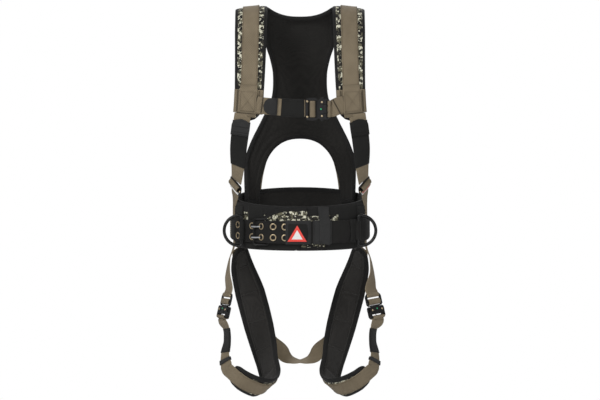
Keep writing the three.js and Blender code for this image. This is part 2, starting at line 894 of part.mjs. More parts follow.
function patch() {
  const edge = 3;
  const thickness = 2.5;
  const strips = anglesBetween(patchAngle - 7.6, patchAngle + 7.6, 5).map((angle) => ({
    ...beltAt(angle, keeperTop + clearance + thickness / 2),
    width: 44,
  }));
  return band(strips, thickness, edge);
}

// ---- side rings ----

const holderHeight = 51;
const holderThickness = 3;
const holderRadius = ringWire + runningGap + 2.4;
const ringOffset = beltInner + beltThickness / 2 + clearance + holderRadius;
const ringPivot = beltAt(sideRingAngle, ringOffset);

function ringHolder() {
  const offset = beltInner + beltThickness / 2 + clearance + holderThickness / 2;
  const tabFrames = anglesBetween(sideRingAngle, 86, 5).map((angle) => ({
    ...beltAt(angle, offset),
    width: holderHeight,
  }));
  const column = (radius, height) =>
    new THREE.CylinderGeometry(radius, radius, height, 16)
      .rotateX(Math.PI / 2)
      .translate(ringPivot.origin.x, ringPivot.origin.y, ringPivot.origin.z);
  return cut(
    join(band(tabFrames, holderThickness), column(holderRadius, holderHeight)),
    column(ringWire + runningGap, 2 * holderHeight),
  );
}

function sideRing() {
  const frame = frameOf(ringPivot.origin, vector(0, 0, 1), vector(0, -1, 0));
  return placed(wireLoop(ringOutline(sideRingHeight, sideRingDepth), ringWire, 8, 5), frame);
}

add("waist_pad", waistPad(), padMesh);
add("waist_belt", waistBelt(), blackWebbing);
add("waist_buckle_frame", buckleLoop(), blackMetal);
add("waist_buckle_prong_upper", prong(-prongSpacing / 2), brightMetal);
add("waist_buckle_prong_lower", prong(prongSpacing / 2), brightMetal);
add("patch_keeper", beltKeeper(-12, 9), blackWebbing);
add("belt_patch", patch(), patchRed);
add("belt_tail_keeper", beltKeeper(11, 27), blackWebbing);
addPair("ring_holder", blackWebbing, ringHolder);
addPair("side_ring", blackMetal, sideRing);

// ---- side straps: leg buckle, up under the belt, adjuster, up to the chest ----

const buckleOutward = (side) => {
  const turn = legBuckleTurn[side] * degrees;
  return [Math.sin(turn), -Math.cos(turn), 0];
};
const legBuckleTop = [194, -38, 281];
const legBuckleBottom = [209, -42, 213];
const torsoSteps = 4;
const adjusterStation = 8;

function sideFrames(side) {
  const waistSide = waistHalfWidth - 178;
  const chestSide = shoulderX - 131;
  const chestFrontShift = 110 - chestDepth;
  return framesAlong(
    [
      { at: legBuckleTop, outward: buckleOutward(side) },
      { at: [191, -36, 293], outward: buckleOutward(side) },
      { at: [195 + waistSide, -27, 330], outward: [0.95, -0.3, 0] },
      { at: [190 + waistSide, -12, 374], outward: [1, -0.1, 0] },
      underBelt(hipStrapAngle, waistLow(90) - 3),
      underBelt(hipStrapAngle, waistHeight + 12),
      underBelt(hipStrapAngle, waistHigh(90) - 24),
      { at: [177 + waistSide, -28, waistHeight + 86], outward: [0.95, -0.3, -0.1] },
      { at: [172.5 + waistSide, -56, waistHeight + 117], outward: [0.86, -0.43, -0.26] },
      {
        at: [167 + mix(waistSide, chestSide, 0.4), -88, mix(waistHeight, chestHeight, 0.515)],
        outward: [0.6, -0.8, -0.05],
      },
      { at: [165 + chestSide, -102 + chestFrontShift * 0.7, chestHeight - 113], outward: [0.35, -0.94, 0] },
      { at: [159 + chestSide, -112 + chestFrontShift, chestHeight - 61], outward: [0.15, -1, 0] },
      { at: [153 + chestSide, -117.5 + chestFrontShift, chestHeight - 20], outward: [0.1, -1, 0] },
    ],
    torsoSteps,
  );
}

const adjusterIndex = adjusterStation * torsoSteps;

function hipWebbing(side) {
  return band(sideFrames(side).slice(0, adjusterIndex - 1), webbingThickness);
}

function torsoWebbing(side) {
  return band(withFlat(sideFrames(side).slice(adjusterIndex + 1)), webbingThickness);
}

function withFlat(frames) {
  return frames.map((frame) => ({ ...frame, curl: 0 }));
}

function adjusterFrameOf(side) {
  const frames = sideFrames(side);
  const [below, above] = [frames[adjusterIndex - 2], frames[adjusterIndex + 1]];
  const centre = below.origin.clone().lerp(above.origin, 0.5);
  const direction = above.origin.clone().sub(below.origin);
  return frameOf(centre, direction, frames[adjusterIndex].outward);
}

function adjuster(side) {
  const shape = roundedRectangle(adjusterWidth, adjusterLength, 5);
  const window = [webbingWidth + 2, adjusterLength - 2 * adjusterBar];
  shape.holes.push(roundedRectangle(...window, 1.5));
  return placed(plate(shape, adjusterThickness), adjusterFrameOf(side));
}

function adjusterSlideBar(side) {
  const width = webbingWidth + 2 - 2 * clearance;
  return placed(plate(roundedRectangle(width, 8, 2), 5), adjusterFrameOf(side));
}

function torsoSleeve(side) {
  const from = adjusterIndex + torsoSteps;
  const frames = withFlat(sideFrames(side).slice(from, from + 2 * torsoSteps + 3));
  const half = webbingThickness / 2;
  return sleeve(frames, webbingWidth, -half, half);
}

addPair("hip_webbing", tanWebbing, hipWebbing);
addPair("torso_webbing", tanWebbing, torsoWebbing);
addPair("torso_sleeve", blackWebbing, torsoSleeve);
addPair("adjuster_frame", blackMetal, adjuster);
addPair("adjuster_bar", blackMetal, adjusterSlideBar);

// ---- leg loops ----

const legX = legSpacing / 2;
const thighCentre = (z) => vector(legX + 1, 15, Math.max(z, 100));
const padTop = waistLow(90) - 8;

const legPath = [
  [legX + 62, -52, 81],
  [legX + 21, -66, 46],
  [legX - 27, -40, 27],
  [legX - 51, 12, 42],
  [legX - 41, 64, 100],
  [legX - 19, 90, 190],
  [legX + 5, 94, 280],
  [legX + 26, 70, 350],
  [legX + 33, 44, padTop],
];
const legWidths = [54, 66, 76, 80, 80, 80, 78, 66, 54];
const legFrames = framesAlong(
  legPath.map((at, i) => ({
    at,
    outward: vector(...at).sub(thighCentre(at[2])).toArray(),
    width: (legWidths[i] * legPadWidth) / 80,
  })),
  4,
);

function legPad() {
  return band(legFrames.slice(1), padThickness, 9);
}

function legStrapFrames(side) {
  const first = shifted(legFrames[0], onPad);
  const outward = buckleOutward(side);
  return framesAlong(
    [
      { at: legBuckleBottom, outward },
      { at: [210, -42.5, 208], outward },
      { at: [198, -43, 186], outward: [0.94, -0.34, 0] },
      { at: [196, -41, 150], outward: [0.94, -0.34, 0] },
      { at: [202, -46, 113], outward: [0.85, -0.5, 0] },
      { at: first.origin.toArray(), outward: first.outward.toArray() },
    ],
    4,
  );
}

function legWebbing(side) {
  const onLegPad = legFrames.map((frame) => shifted({ ...frame, width: webbingWidth }, onPad));
  const frames = [...legStrapFrames(side).slice(0, -1), ...onLegPad];
  return band(frames, webbingThickness);
}

function legSleeve(side) {
  const half = webbingThickness / 2;
  return sleeve(legStrapFrames(side).slice(8, 16), webbingWidth, -half, half);
}

function legKeeper(side) {
  const half = webbingThickness / 2;
  return sleeve(legStrapFrames(side).slice(17, 19), webbingWidth, -half, half, 2.2);
}

addPair("leg_pad", padMesh, legPad);
addPair("leg_webbing", tanWebbing, legWebbing);
addPair("leg_sleeve", blackWebbing, legSleeve);
addPair("leg_keeper", blackWebbing, legKeeper);

// The strap under the seat hangs between the two leg loops.
function seatStrap() {
  const behind = webbingTop + clearance + webbingThickness / 2 + 3;
  const start = shifted(legFrames[20], behind).origin;
  const lowest = start.z - 96;
  const half = [
    { at: [start.x - 12, start.y + 2, start.z - 6], outward: [0.05, 1, 0.1] },
    { at: [start.x - 25, start.y + 9, start.z - 42], outward: [0.3, 1, 0.1] },
    { at: [52, start.y + 13, lowest + 29], outward: [0.5, 1, -0.2] },
    { at: [40, start.y + 15, lowest + 14], outward: [0.4, 0.9, -0.6] },
    { at: [24, start.y + 16, lowest + 4], outward: [0.2, 0.5, -1] },
    { at: [0, start.y + 16, lowest], outward: [0, 0.15, -1] },
  ];
  const otherHalf = half.slice(0, -1).reverse().map(({ at, outward }) => ({
    at: [-at[0], at[1], at[2]],
    outward: [-outward[0], outward[1], outward[2]],
  }));
  return band(framesAlong([...half, ...otherHalf], 4), webbingThickness);
}

add("seat_strap", seatStrap(), tanWebbing);

function legConnectorFrame(side) {
  const [top, bottom] = [vector(...legBuckleTop), vector(...legBuckleBottom)];
  const down = bottom.clone().sub(top).normalize();
  const mouth = top.clone().addScaledVector(down, frameLength + 1.8);
  return frameOf(mouth, down, vector(...buckleOutward(side)));
}

addConnector("left_leg", legConnectorFrame("left"));
addConnector("right_leg", legConnectorFrame("right"), mirrored);

// The origin is the dorsal ring's seat.
worn.position.set(0, -dorsalFrame.origin.y - dorsalPlateThickness / 2, -dorsalHeight);
const harness = new THREE.Group();
harness.add(worn);

export default harness;
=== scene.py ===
import math

import bmesh
import bpy
from mathutils import Matrix, Vector, noise


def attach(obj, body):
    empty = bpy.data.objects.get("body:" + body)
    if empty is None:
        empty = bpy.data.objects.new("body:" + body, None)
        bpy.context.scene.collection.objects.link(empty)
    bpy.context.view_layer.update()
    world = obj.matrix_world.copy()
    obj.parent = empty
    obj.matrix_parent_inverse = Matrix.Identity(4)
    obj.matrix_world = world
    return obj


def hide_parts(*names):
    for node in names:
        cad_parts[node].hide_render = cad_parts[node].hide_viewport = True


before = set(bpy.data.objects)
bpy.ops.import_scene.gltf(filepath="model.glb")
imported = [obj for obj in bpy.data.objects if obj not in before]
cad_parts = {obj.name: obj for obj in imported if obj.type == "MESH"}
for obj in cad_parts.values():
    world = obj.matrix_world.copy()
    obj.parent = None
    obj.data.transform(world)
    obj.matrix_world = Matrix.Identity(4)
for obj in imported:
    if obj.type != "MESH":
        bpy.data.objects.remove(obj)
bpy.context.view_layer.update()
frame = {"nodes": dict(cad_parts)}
scene = bpy.context.scene
mm = 0.001

# camera and light

camera = {"place": (0, -13.63, -0.358), "lens": 300}
bpy.ops.object.camera_add(location=camera["place"], rotation=(math.radians(90), 0, 0))
scene.camera = bpy.context.object
scene.camera.data.lens = camera["lens"]
scene.camera.data.sensor_width = 36

lights = [
    {"name": "keyLight", "place": (-2.2, -3.0, 2.2), "size": 1.6, "power": 105},
    {"name": "fillLight", "place": (2.6, -2.8, 0.6), "size": 2.2, "power": 24},
    {"name": "backLight", "place": (0.4, 2.6, 2.0), "size": 2.4, "power": 60},
    {"name": "lowLight", "place": (0.2, -2.6, -0.9), "size": 1.6, "power": 14},
]
for light in lights:
    bpy.ops.object.light_add(type="AREA", location=light["place"])
    lamp = bpy.context.object
    lamp.name = light["name"]
    lamp.data.energy = light["power"]
    lamp.data.size = light["size"]
    aim = Vector((0, -0.13, -0.36)) - lamp.location
    lamp.rotation_euler = aim.to_track_quat("-Z", "Y").to_euler()

world = bpy.data.worlds.new("studioWorld")
world.use_nodes = True
backdrop = world.node_tree.nodes["Background"]
backdrop.inputs["Color"].default_value = (1, 1, 1, 1)
seen = world.node_tree.nodes.new("ShaderNodeLightPath")
level = world.node_tree.nodes.new("ShaderNodeMapRange")
level.inputs["To Min"].default_value = 0.33  # light on the harness
level.inputs["To Max"].default_value = 1.0  # white behind it
world.node_tree.links.new(seen.outputs["Is Camera Ray"], level.inputs["Value"])
world.node_tree.links.new(level.outputs["Result"], backdrop.inputs["Strength"])
scene.world = world
scene.view_settings.view_transform = "Standard"

bpy.ops.mesh.primitive_plane_add(size=3.2, location=(0, -0.1, -1.14))
floor = bpy.context.object
floor.name = "studioFloor"
print("camera and lights ready")

# shared shader groups


def newGroup(name, inputs, outputs):
    group = bpy.data.node_groups.new(name, "ShaderNodeTree")
    for label, kind, value in inputs:
        socket = group.interface.new_socket(name=label, in_out="INPUT", socket_type=kind)
        if value is not None:
            socket.default_value = value
    for label, kind in outputs:
        group.interface.new_socket(name=label, in_out="OUTPUT", socket_type=kind)
    entry = group.nodes.new("NodeGroupInput")
    leave = group.nodes.new("NodeGroupOutput")
    return group, entry, leave


def mathNode(tree, operation, first, second=None):
    node = tree.nodes.new("ShaderNodeMath")
    node.operation = operation
    for socket, value in zip(node.inputs, (first, second)):
        if value is None:
            continue
        if isinstance(value, (int, float)):
            socket.default_value = value
        else:
            tree.links.new(value, socket)
    return node.outputs[0]


def mixColour(tree, amount, first, second):
    node = tree.nodes.new("ShaderNodeMix")
    node.data_type = "RGBA"
    for index, value in ((0, amount), (6, first), (7, second)):
        if hasattr(value, "is_linked"):
            tree.links.new(value, node.inputs[index])
        else:
            node.inputs[index].default_value = value
    return node.outputs[2]


def noiseNode(tree, place, scale, detail, rough=0.5):
    node = tree.nodes.new("ShaderNodeTexNoise")
    node.inputs["Scale"].default_value = scale
    node.inputs["Detail"].default_value = detail
    node.inputs["Roughness"].default_value = rough
    tree.links.new(place, node.inputs["Vector"])
    return node.outputs["Fac"]


def ramp(tree, value, low, high):
    node = tree.nodes.new("ShaderNodeMapRange")
    node.inputs["From Min"].default_value = low
    node.inputs["From Max"].default_value = high
    tree.links.new(value, node.inputs["Value"])
    return node.outputs["Result"]


# woven strap: columns along it, rows across it, every other column half a row on; Shade is the weave's
# height, used as painted shade in the hollows between threads
weave, entry, leave = newGroup(
    "webbingWeave",
    [("Place", "NodeSocketVector", None), ("Column", "NodeSocketFloat", 0.0016),
     ("Row", "NodeSocketFloat", 0.0022)],
    [("Height", "NodeSocketFloat"), ("Shade", "NodeSocketFloat")],
)
split = weave.nodes.new("ShaderNodeSeparateXYZ")
weave.links.new(entry.outputs["Place"], split.inputs[0])
column = mathNode(weave, "DIVIDE", split.outputs["X"], entry.outputs["Column"])
row = mathNode(weave, "DIVIDE", split.outputs["Y"], entry.outputs["Row"])
step = mathNode(weave, "MULTIPLY", mathNode(weave, "FLOOR", column), 0.5)
bulge = mathNode(weave, "SINE", mathNode(weave, "MULTIPLY", mathNode(weave, "FRACT", column), math.pi))
pick = mathNode(weave, "FRACT", mathNode(weave, "ADD", row, step))
over = mathNode(weave, "SINE", mathNode(weave, "MULTIPLY", pick, math.pi))
height = mathNode(weave, "MULTIPLY", bulge, mathNode(weave, "ADD", mathNode(weave, "MULTIPLY", over, 0.55),
                                                     0.45))
fuzz = noiseNode(weave, entry.outputs["Place"], 900, 2)
weave.links.new(mathNode(weave, "ADD", height, mathNode(weave, "MULTIPLY", fuzz, 0.25)),
                leave.inputs["Height"])
# painted shade: the weave's low parts get the dark colour
weave.links.new(height, leave.inputs["Shade"])

# knitted mesh over foam: small open cells and soft creases; Shade is the cells' height, used as painted shade
# in the open cells
knit, entry, leave = newGroup(
    "paddingKnit",
    [("Place", "NodeSocketVector", None), ("Cell", "NodeSocketFloat", 620.0)],
    [("Height", "NodeSocketFloat"), ("Shade", "NodeSocketFloat"), ("Crease", "NodeSocketFloat")],
)
cell = knit.nodes.new("ShaderNodeTexVoronoi")
cell.inputs["Randomness"].default_value = 0.35
knit.links.new(entry.outputs["Place"], cell.inputs["Vector"])
knit.links.new(entry.outputs["Cell"], cell.inputs["Scale"])
opening = ramp(knit, cell.outputs["Distance"], 0.12, 0.55)
crease = noiseNode(knit, entry.outputs["Place"], 34, 5, 0.62)
knit.links.new(opening, leave.inputs["Height"])
# painted shade: the low open cells get the dark colour
knit.links.new(opening, leave.inputs["Shade"])
knit.links.new(crease, leave.inputs["Crease"])

# block camouflage: square cells gathered into patches
camo, entry, leave = newGroup(
    "blockCamo",
    [("Place", "NodeSocketVector", None), ("Cell", "NodeSocketFloat", 0.0018)],
    [("Cream", "NodeSocketFloat"), ("Olive", "NodeSocketFloat"), ("Dark", "NodeSocketFloat")],
)
snapCell = camo.nodes.new("ShaderNodeCombineXYZ")
for axis in range(3):
    camo.links.new(entry.outputs["Cell"], snapCell.inputs[axis])
snap = camo.nodes.new("ShaderNodeVectorMath")
snap.operation = "SNAP"
camo.links.new(entry.outputs["Place"], snap.inputs[0])
camo.links.new(snapCell.outputs[0], snap.inputs[1])
for label, scale, shift, low in (("Cream", 95, 0.0, 0.545), ("Olive", 80, 3.7, 0.50),
                                 ("Dark", 90, 9.1, 0.545)):
    shifted = camo.nodes.new("ShaderNodeVectorMath")
    shifted.operation = "ADD"
    shifted.inputs[1].default_value = (shift, shift, shift)
    camo.links.new(snap.outputs[0], shifted.inputs[0])
    patchy = noiseNode(camo, shifted.outputs[0], scale, 2, 0.7)
    camo.links.new(mathNode(camo, "GREATER_THAN", patchy, low), leave.inputs[label])

# handling wear: broad soft stains and fine scuffs
wear, entry, leave = newGroup(
    "handlingWear",
    [("Place", "NodeSocketVector", None)],
    [("Stain", "NodeSocketFloat"), ("Scuff", "NodeSocketFloat")],
)
wear.links.new(ramp(wear, noiseNode(wear, entry.outputs["Place"], 11, 4, 0.6), 0.35, 0.7),
               leave.inputs["Stain"])
wear.links.new(ramp(wear, noiseNode(wear, entry.outputs["Place"], 190, 5, 0.7), 0.55, 0.75),
               leave.inputs["Scuff"])

# materials


def newMaterial(name):
    made = bpy.data.materials.new(name)
    made.use_nodes = True
    tree = made.node_tree
    shader = tree.nodes["Principled BSDF"]
    coordinates = tree.nodes.new("ShaderNodeTexCoord")
    return made, tree, shader, coordinates


def useGroup(tree, group, place, **values):
    node = tree.nodes.new("ShaderNodeGroup")
    node.node_tree = group
    tree.links.new(place, node.inputs["Place"])
    for label, value in values.items():
        node.inputs[label].default_value = value
    return node.outputs


def addBump(tree, shader, height, distance, strength=1.0, under=None):
    bump = tree.nodes.new("ShaderNodeBump")
    bump.inputs["Distance"].default_value = distance
    bump.inputs["Strength"].default_value = strength
    tree.links.new(height, bump.inputs["Height"])
    if under is not None:
        tree.links.new(under, bump.inputs["Normal"])
    tree.links.new(bump.outputs[0], shader.inputs["Normal"])
    return bump.outputs[0]


def webbingMaterial(name, deep, light, column, row, relief):
    made, tree, shader, coordinates = newMaterial(name)
    cloth = useGroup(tree, weave, coordinates.outputs["UV"], Column=column, Row=row)
    worn = useGroup(tree, wear, coordinates.outputs["Object"])
    # painted shade: darker colour in the weave's hollows, lighter on its raised threads
    base = mixColour(tree, cloth["Shade"], (*deep, 1), (*light, 1))
    faded = mixColour(tree, mathNode(tree, "MULTIPLY", worn["Stain"], 0.3), base,
                      (*[v * 1.25 for v in light], 1))
    tree.links.new(faded, shader.inputs["Base Color"])
    tree.links.new(mathNode(tree, "ADD", mathNode(tree, "MULTIPLY", worn["Scuff"], 0.1), 0.78),
                   shader.inputs["Roughness"])
    shader.inputs["Sheen Weight"].default_value = 0.05
    shader.inputs["Sheen Roughness"].default_value = 0.5
    shader.inputs["Specular IOR Level"].default_value = 0.15
    addBump(tree, shader, cloth["Height"], relief)
    return made


def knitMaterial(name, deep, light, sheen=0.03):
    made, tree, shader, coordinates = newMaterial(name)
    cloth = useGroup(tree, knit, coordinates.outputs["Object"], Cell=620.0)
    worn = useGroup(tree, wear, coordinates.outputs["Object"])
    # painted shade: the knit's open cells darker than its threads
    base = mixColour(tree, cloth["Shade"], (*deep, 1), (*light, 1))
    dusty = mixColour(tree, mathNode(tree, "MULTIPLY", worn["Stain"], 0.35), base,
                      (*[v * 1.5 for v in light], 1))
    tree.links.new(dusty, shader.inputs["Base Color"])
    tree.links.new(mathNode(tree, "ADD", mathNode(tree, "MULTIPLY", worn["Scuff"], 0.08), 0.82),
                   shader.inputs["Roughness"])
    shader.inputs["Sheen Weight"].default_value = sheen
    shader.inputs["Specular IOR Level"].default_value = 0.3
    soft = addBump(tree, shader, cloth["Crease"], 0.004, 0.5)
    addBump(tree, shader, cloth["Height"], 0.0005, 0.8, under=soft)
    return made


def camoMaterial(name):
    made, tree, shader, coordinates = newMaterial(name)
    marks = useGroup(tree, camo, coordinates.outputs["Object"])
    cloth = useGroup(tree, weave, coordinates.outputs["UV"], Column=0.0011, Row=0.0011)
    base = mixColour(tree, marks["Olive"], (0.035, 0.032, 0.026, 1), (0.16, 0.15, 0.10, 1))
    cream = mixColour(tree, marks["Cream"], base, (0.78, 0.76, 0.60, 1))
    dark = mixColour(tree, marks["Dark"], cream, (0.012, 0.012, 0.012, 1))
    # painted shade: the camouflage darkened in the weave's hollows
    shaded = mixColour(tree, mathNode(tree, "MULTIPLY", cloth["Shade"], 0.3), dark, (0, 0, 0, 1))
    tree.links.new(shaded, shader.inputs["Base Color"])
    shader.inputs["Roughness"].default_value = 0.85
    shader.inputs["Specular IOR Level"].default_value = 0.25
    addBump(tree, shader, cloth["Height"], 0.0002)
    return made


def metalMaterial(name, colour, worn, metallic, rough):
    made, tree, shader, coordinates = newMaterial(name)
    marks = useGroup(tree, wear, coordinates.outputs["Object"])
    base = mixColour(tree, mathNode(tree, "MULTIPLY", marks["Scuff"], 0.25), (*colour, 1), (*worn, 1))
    tree.links.new(base, shader.inputs["Base Color"])
    tree.links.new(mathNode(tree, "ADD", mathNode(tree, "MULTIPLY", marks["Stain"], 0.15), rough),
                   shader.inputs["Roughness"])
    shader.inputs["Metallic"].default_value = metallic
    fine = noiseNode(tree, coordinates.outputs["Object"], 1400, 3)
    addBump(tree, shader, fine, 0.00012, 0.6)
    return made


tanWeb = webbingMaterial("tanWebbing", (0.050, 0.038, 0.022), (0.285, 0.232, 0.158), 0.0030, 0.0044, 0.0006)
blackWeb = webbingMaterial("blackWebbing", (0.004, 0.004, 0.004), (0.017, 0.017, 0.016), 0.0024, 0.0034,
                           0.0003)
beltWeb = webbingMaterial("beltWebbing", (0.003, 0.003, 0.003), (0.018, 0.017, 0.016), 0.0024, 0.0030, 0.0004)
ribbedElastic = webbingMaterial("ribbedElastic", (0.008, 0.008, 0.008), (0.040, 0.040, 0.040), 0.0030,
                                0.0030, 0.0004)
bindingTape = webbingMaterial("bindingTape", (0.004, 0.004, 0.004), (0.019, 0.0185, 0.018), 0.0009, 0.0013,
                              0.00015)
padKnit = knitMaterial("padKnit", (0.003, 0.0028, 0.0025), (0.014, 0.013, 0.0115))
legKnit = knitMaterial("legKnit", (0.006, 0.0055, 0.005), (0.026, 0.024, 0.022), sheen=0.08)
camoCloth = camoMaterial("camoCloth")
blackSteel = metalMaterial("blackSteel", (0.010, 0.010, 0.010), (0.10, 0.10, 0.10), 0.6, 0.28)
blackAlloy = metalMaterial("blackAlloy", (0.010, 0.010, 0.0105), (0.10, 0.10, 0.10), 0.5, 0.34)
brightSteel = metalMaterial("brightSteel", (0.62, 0.63, 0.65), (0.35, 0.35, 0.36), 1.0, 0.25)
brass = metalMaterial("agedBrass", (0.50, 0.40, 0.26), (0.26, 0.20, 0.13), 1.0, 0.3)
moulded = metalMaterial("mouldedPlastic", (0.022, 0.022, 0.023), (0.06, 0.06, 0.06), 0.0, 0.5)
patchRed = metalMaterial("patchRed", (0.72, 0.045, 0.03), (0.55, 0.03, 0.02), 0.0, 0.45)
labelRed = metalMaterial("labelRed", (0.42, 0.12, 0.10), (0.5, 0.3, 0.25), 0.0, 0.6)
patchPale = metalMaterial("patchPale", (0.72, 0.72, 0.70), (0.5, 0.5, 0.5), 0.0, 0.5)
signalGreen = metalMaterial("signalGreen", (0.02, 0.42, 0.16), (0.02, 0.3, 0.1), 0.0, 0.35)
tanThread = webbingMaterial("tanThread", (0.10, 0.08, 0.055), (0.20, 0.165, 0.12), 0.0003, 0.0004, 0.00005)
creamThread = webbingMaterial("creamThread", (0.35, 0.32, 0.25), (0.60, 0.56, 0.46), 0.0003, 0.0004, 0.00005)
# raised seam welt on the leg pads, coloured lighter than the knit as a painted highlight along each seam
padWeltHighlight = webbingMaterial("padWeltHighlight", (0.020, 0.019, 0.018), (0.062, 0.060, 0.056), 0.0012, 0.0014, 0.0001)
blackThread = webbingMaterial("blackThread", (0.010, 0.010, 0.010), (0.045, 0.043, 0.04), 0.0003, 0.0004,
                              0.00005)
floorPaint, _, floorShader, _ = newMaterial("floorPaint")
floorShader.inputs["Base Color"].default_value = (0.82, 0.82, 0.82, 1)
floorShader.inputs["Roughness"].default_value = 0.9
floor.data.materials.append(floorPaint)
print("materials ready")

# frames along a strap: place, along, across, outward, width, curl


def frameAt(place, along, outward, width=0.045, curl=0.0):
    along = along.normalized()
    across = along.cross(outward).normalized()
    return {"place": place, "along": along, "across": across, "outward": across.cross(along),
            "width": width, "curl": curl}


def spline(a, b, c, d, t):
    return 0.5 * (2 * b + (c - a) * t + (2 * a - 5 * b + 4 * c - d) * t * t
                  + (3 * b - a - 3 * c + d) * t * t * t)


def sectionsOf(node):
    # a strap solid's cross-sections in order: rings of vertices counted on from a flat end
    work = bmesh.new()
    work.from_mesh(frame["nodes"][node].data)
    bmesh.ops.remove_doubles(work, verts=work.verts, dist=0.00002)
    work.normal_update()
    work.verts.ensure_lookup_table()

    def ringsFrom(ring):
        seen, rings = set(ring), [list(ring)]
        while rings[-1]:
            onward = {edge.other_vert(v) for v in rings[-1] for edge in v.link_edges} - seen
            seen |= onward
            rings.append(list(onward))
        return rings[:-1]

    # an end is the flat face that counts on in rings of one size
    farthest = [v for ring in ringsFrom([work.verts[0]])[-2:] for v in ring]
    for face in (f for v in sorted(farthest, key=lambda v: tuple(v.co)) for f in v.link_faces):
        flat, edge = {face}, [face]
        while edge:
            for near in [f for e in edge.pop().edges for f in e.link_faces]:
                if near not in flat and near.normal.dot(face.normal) > 0.9999:
                    flat.add(near)
                    edge.append(near)
        rings = ringsFrom({v for f in flat for v in f.verts})
        if len({len(ring) for ring in rings}) == 1:
            break
    places = [[v.co.copy() for v in sorted(ring, key=lambda v: tuple(v.co))] for ring in rings]
    work.free()
    return places


def pathOf(node, start, facing):
    # stations along a strap solid, from its end near start: place, outward, width and curl
    rings = sectionsOf(node)
    middles = [sum(ring, Vector()) / len(ring) for ring in rings]
    if (middles[-1] - Vector(start)).length < (middles[0] - Vector(start)).length:
        rings.reverse()
        middles.reverse()
    rows, facing = [], Vector(facing)
    for i, (ring, middle) in enumerate(zip(rings, middles)):
        ahead = middles[min(i + 1, len(rings) - 1)] - middles[max(i - 1, 0)]
        low, high = max(((p, q) for p in ring for q in ring), key=lambda pair: (pair[0] - pair[1]).length)
        half = (high - low).length / 2
        sides = []
        for sign in (-1, 1):
            near = [p for p in ring if (p - middle).dot(high - low) * sign > 1.6 * half * half]
            sides.append(sum(near, Vector()) / len(near))
        across = sides[1] - sides[0]
        outward = across.cross(ahead).normalized()
        facing = outward if outward.dot(facing) > 0 else -outward
        core = [p for p in ring if abs((p - middle).dot(across)) < 0.1 * half * across.length] or ring
        place = sum(core, Vector()) / len(core)
        curl = (place - (sides[0] + sides[1]) / 2).dot(facing)
        rows.append((place, facing, across.length, curl))
    return rows


def smoothFrames(rows, step=0.004):
    # even frames along a smooth line through stations
    places = [row[0] for row in rows]
    places = [places[0] * 2 - places[1], *places, places[-1] * 2 - places[-2]]
    frames = []
    for i in range(len(rows) - 1):
        (_, out, width, curl), (_, nextOut, nextWidth, nextCurl) = rows[i:i + 2]
        count = max(2, round((places[i + 2] - places[i + 1]).length / step))
        for k in range(count + (i == len(rows) - 2)):
            t = k / count
            place = spline(*places[i:i + 4], t)
            ahead = spline(*places[i:i + 4], t + 0.02) - spline(*places[i:i + 4], t - 0.02)
            frames.append(frameAt(place, ahead, out.lerp(nextOut, t), width + (nextWidth - width) * t,
                                  curl + (nextCurl - curl) * t))
    return frames


def rowSide(turn, values):
    # a place or direction given for the left side, turned to the right one where asked
    return Vector((-values[0], values[1], values[2])) if turn else Vector(values)


def moved(frames, outward, width=None):
    out = []
    for f in frames:
        g = dict(f)
        g["place"] = f["place"] + f["outward"] * outward
        if width is not None:
            g["width"] = width
        out.append(g)
    return out


def lengths(frames):
    run = [0.0]
    for f, g in zip(frames, frames[1:]):
        run.append(run[-1] + (g["place"] - f["place"]).length)
    return run


def between(frames, start, end):
    run = lengths(frames)
    return [f for f, r in zip(frames, run) if start <= r <= end]


def coveredBy(node, frames, step=0.004):
    # even frames along the stretch of a strap that a sleeve's solid covers
    run, reached = lengths(frames), []
    for vertex in frame["nodes"][node].data.vertices:
        i = min(range(len(frames)), key=lambda k: (frames[k]["place"] - vertex.co).length)
        reached.append(run[i] + (vertex.co - frames[i]["place"]).dot(frames[i]["along"]))
    start, end = min(reached), max(reached)
    count = max(2, round((end - start) / step))
    out = []
    for due in (start + (end - start) * k / count for k in range(count + 1)):
        i = max(k for k in range(len(run) - 1) if run[k] <= max(due, 0))
        f, g = frames[i:i + 2]
        t = (due - run[i]) / (run[i + 1] - run[i])
        out.append(frameAt(f["place"].lerp(g["place"], t), f["along"].lerp(g["along"], t),
                           f["outward"].lerp(g["outward"], t),
                           f["width"] + (g["width"] - f["width"]) * t,
                           f["curl"] + (g["curl"] - f["curl"]) * t))
    return out


def newPiece(name, mesh, surfaces, body="harness", smooth=True, finish=None):
    piece = bpy.data.objects.new(name, mesh)
    scene.collection.objects.link(piece)
    for surface in surfaces if isinstance(surfaces, (list, tuple)) else [surfaces]:
        piece.data.materials.append(surface)
    if smooth:
        piece.data.shade_smooth()
    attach(piece, body)
    return piece


def lifted(frame, u, height):
    # a point u across (-1 to 1) and height above a frame's middle, with the frame's curl
    half = frame["width"] / 2
    return frame["place"] + frame["across"] * (u * half) + frame["outward"] * (height - frame["curl"] * u * u)


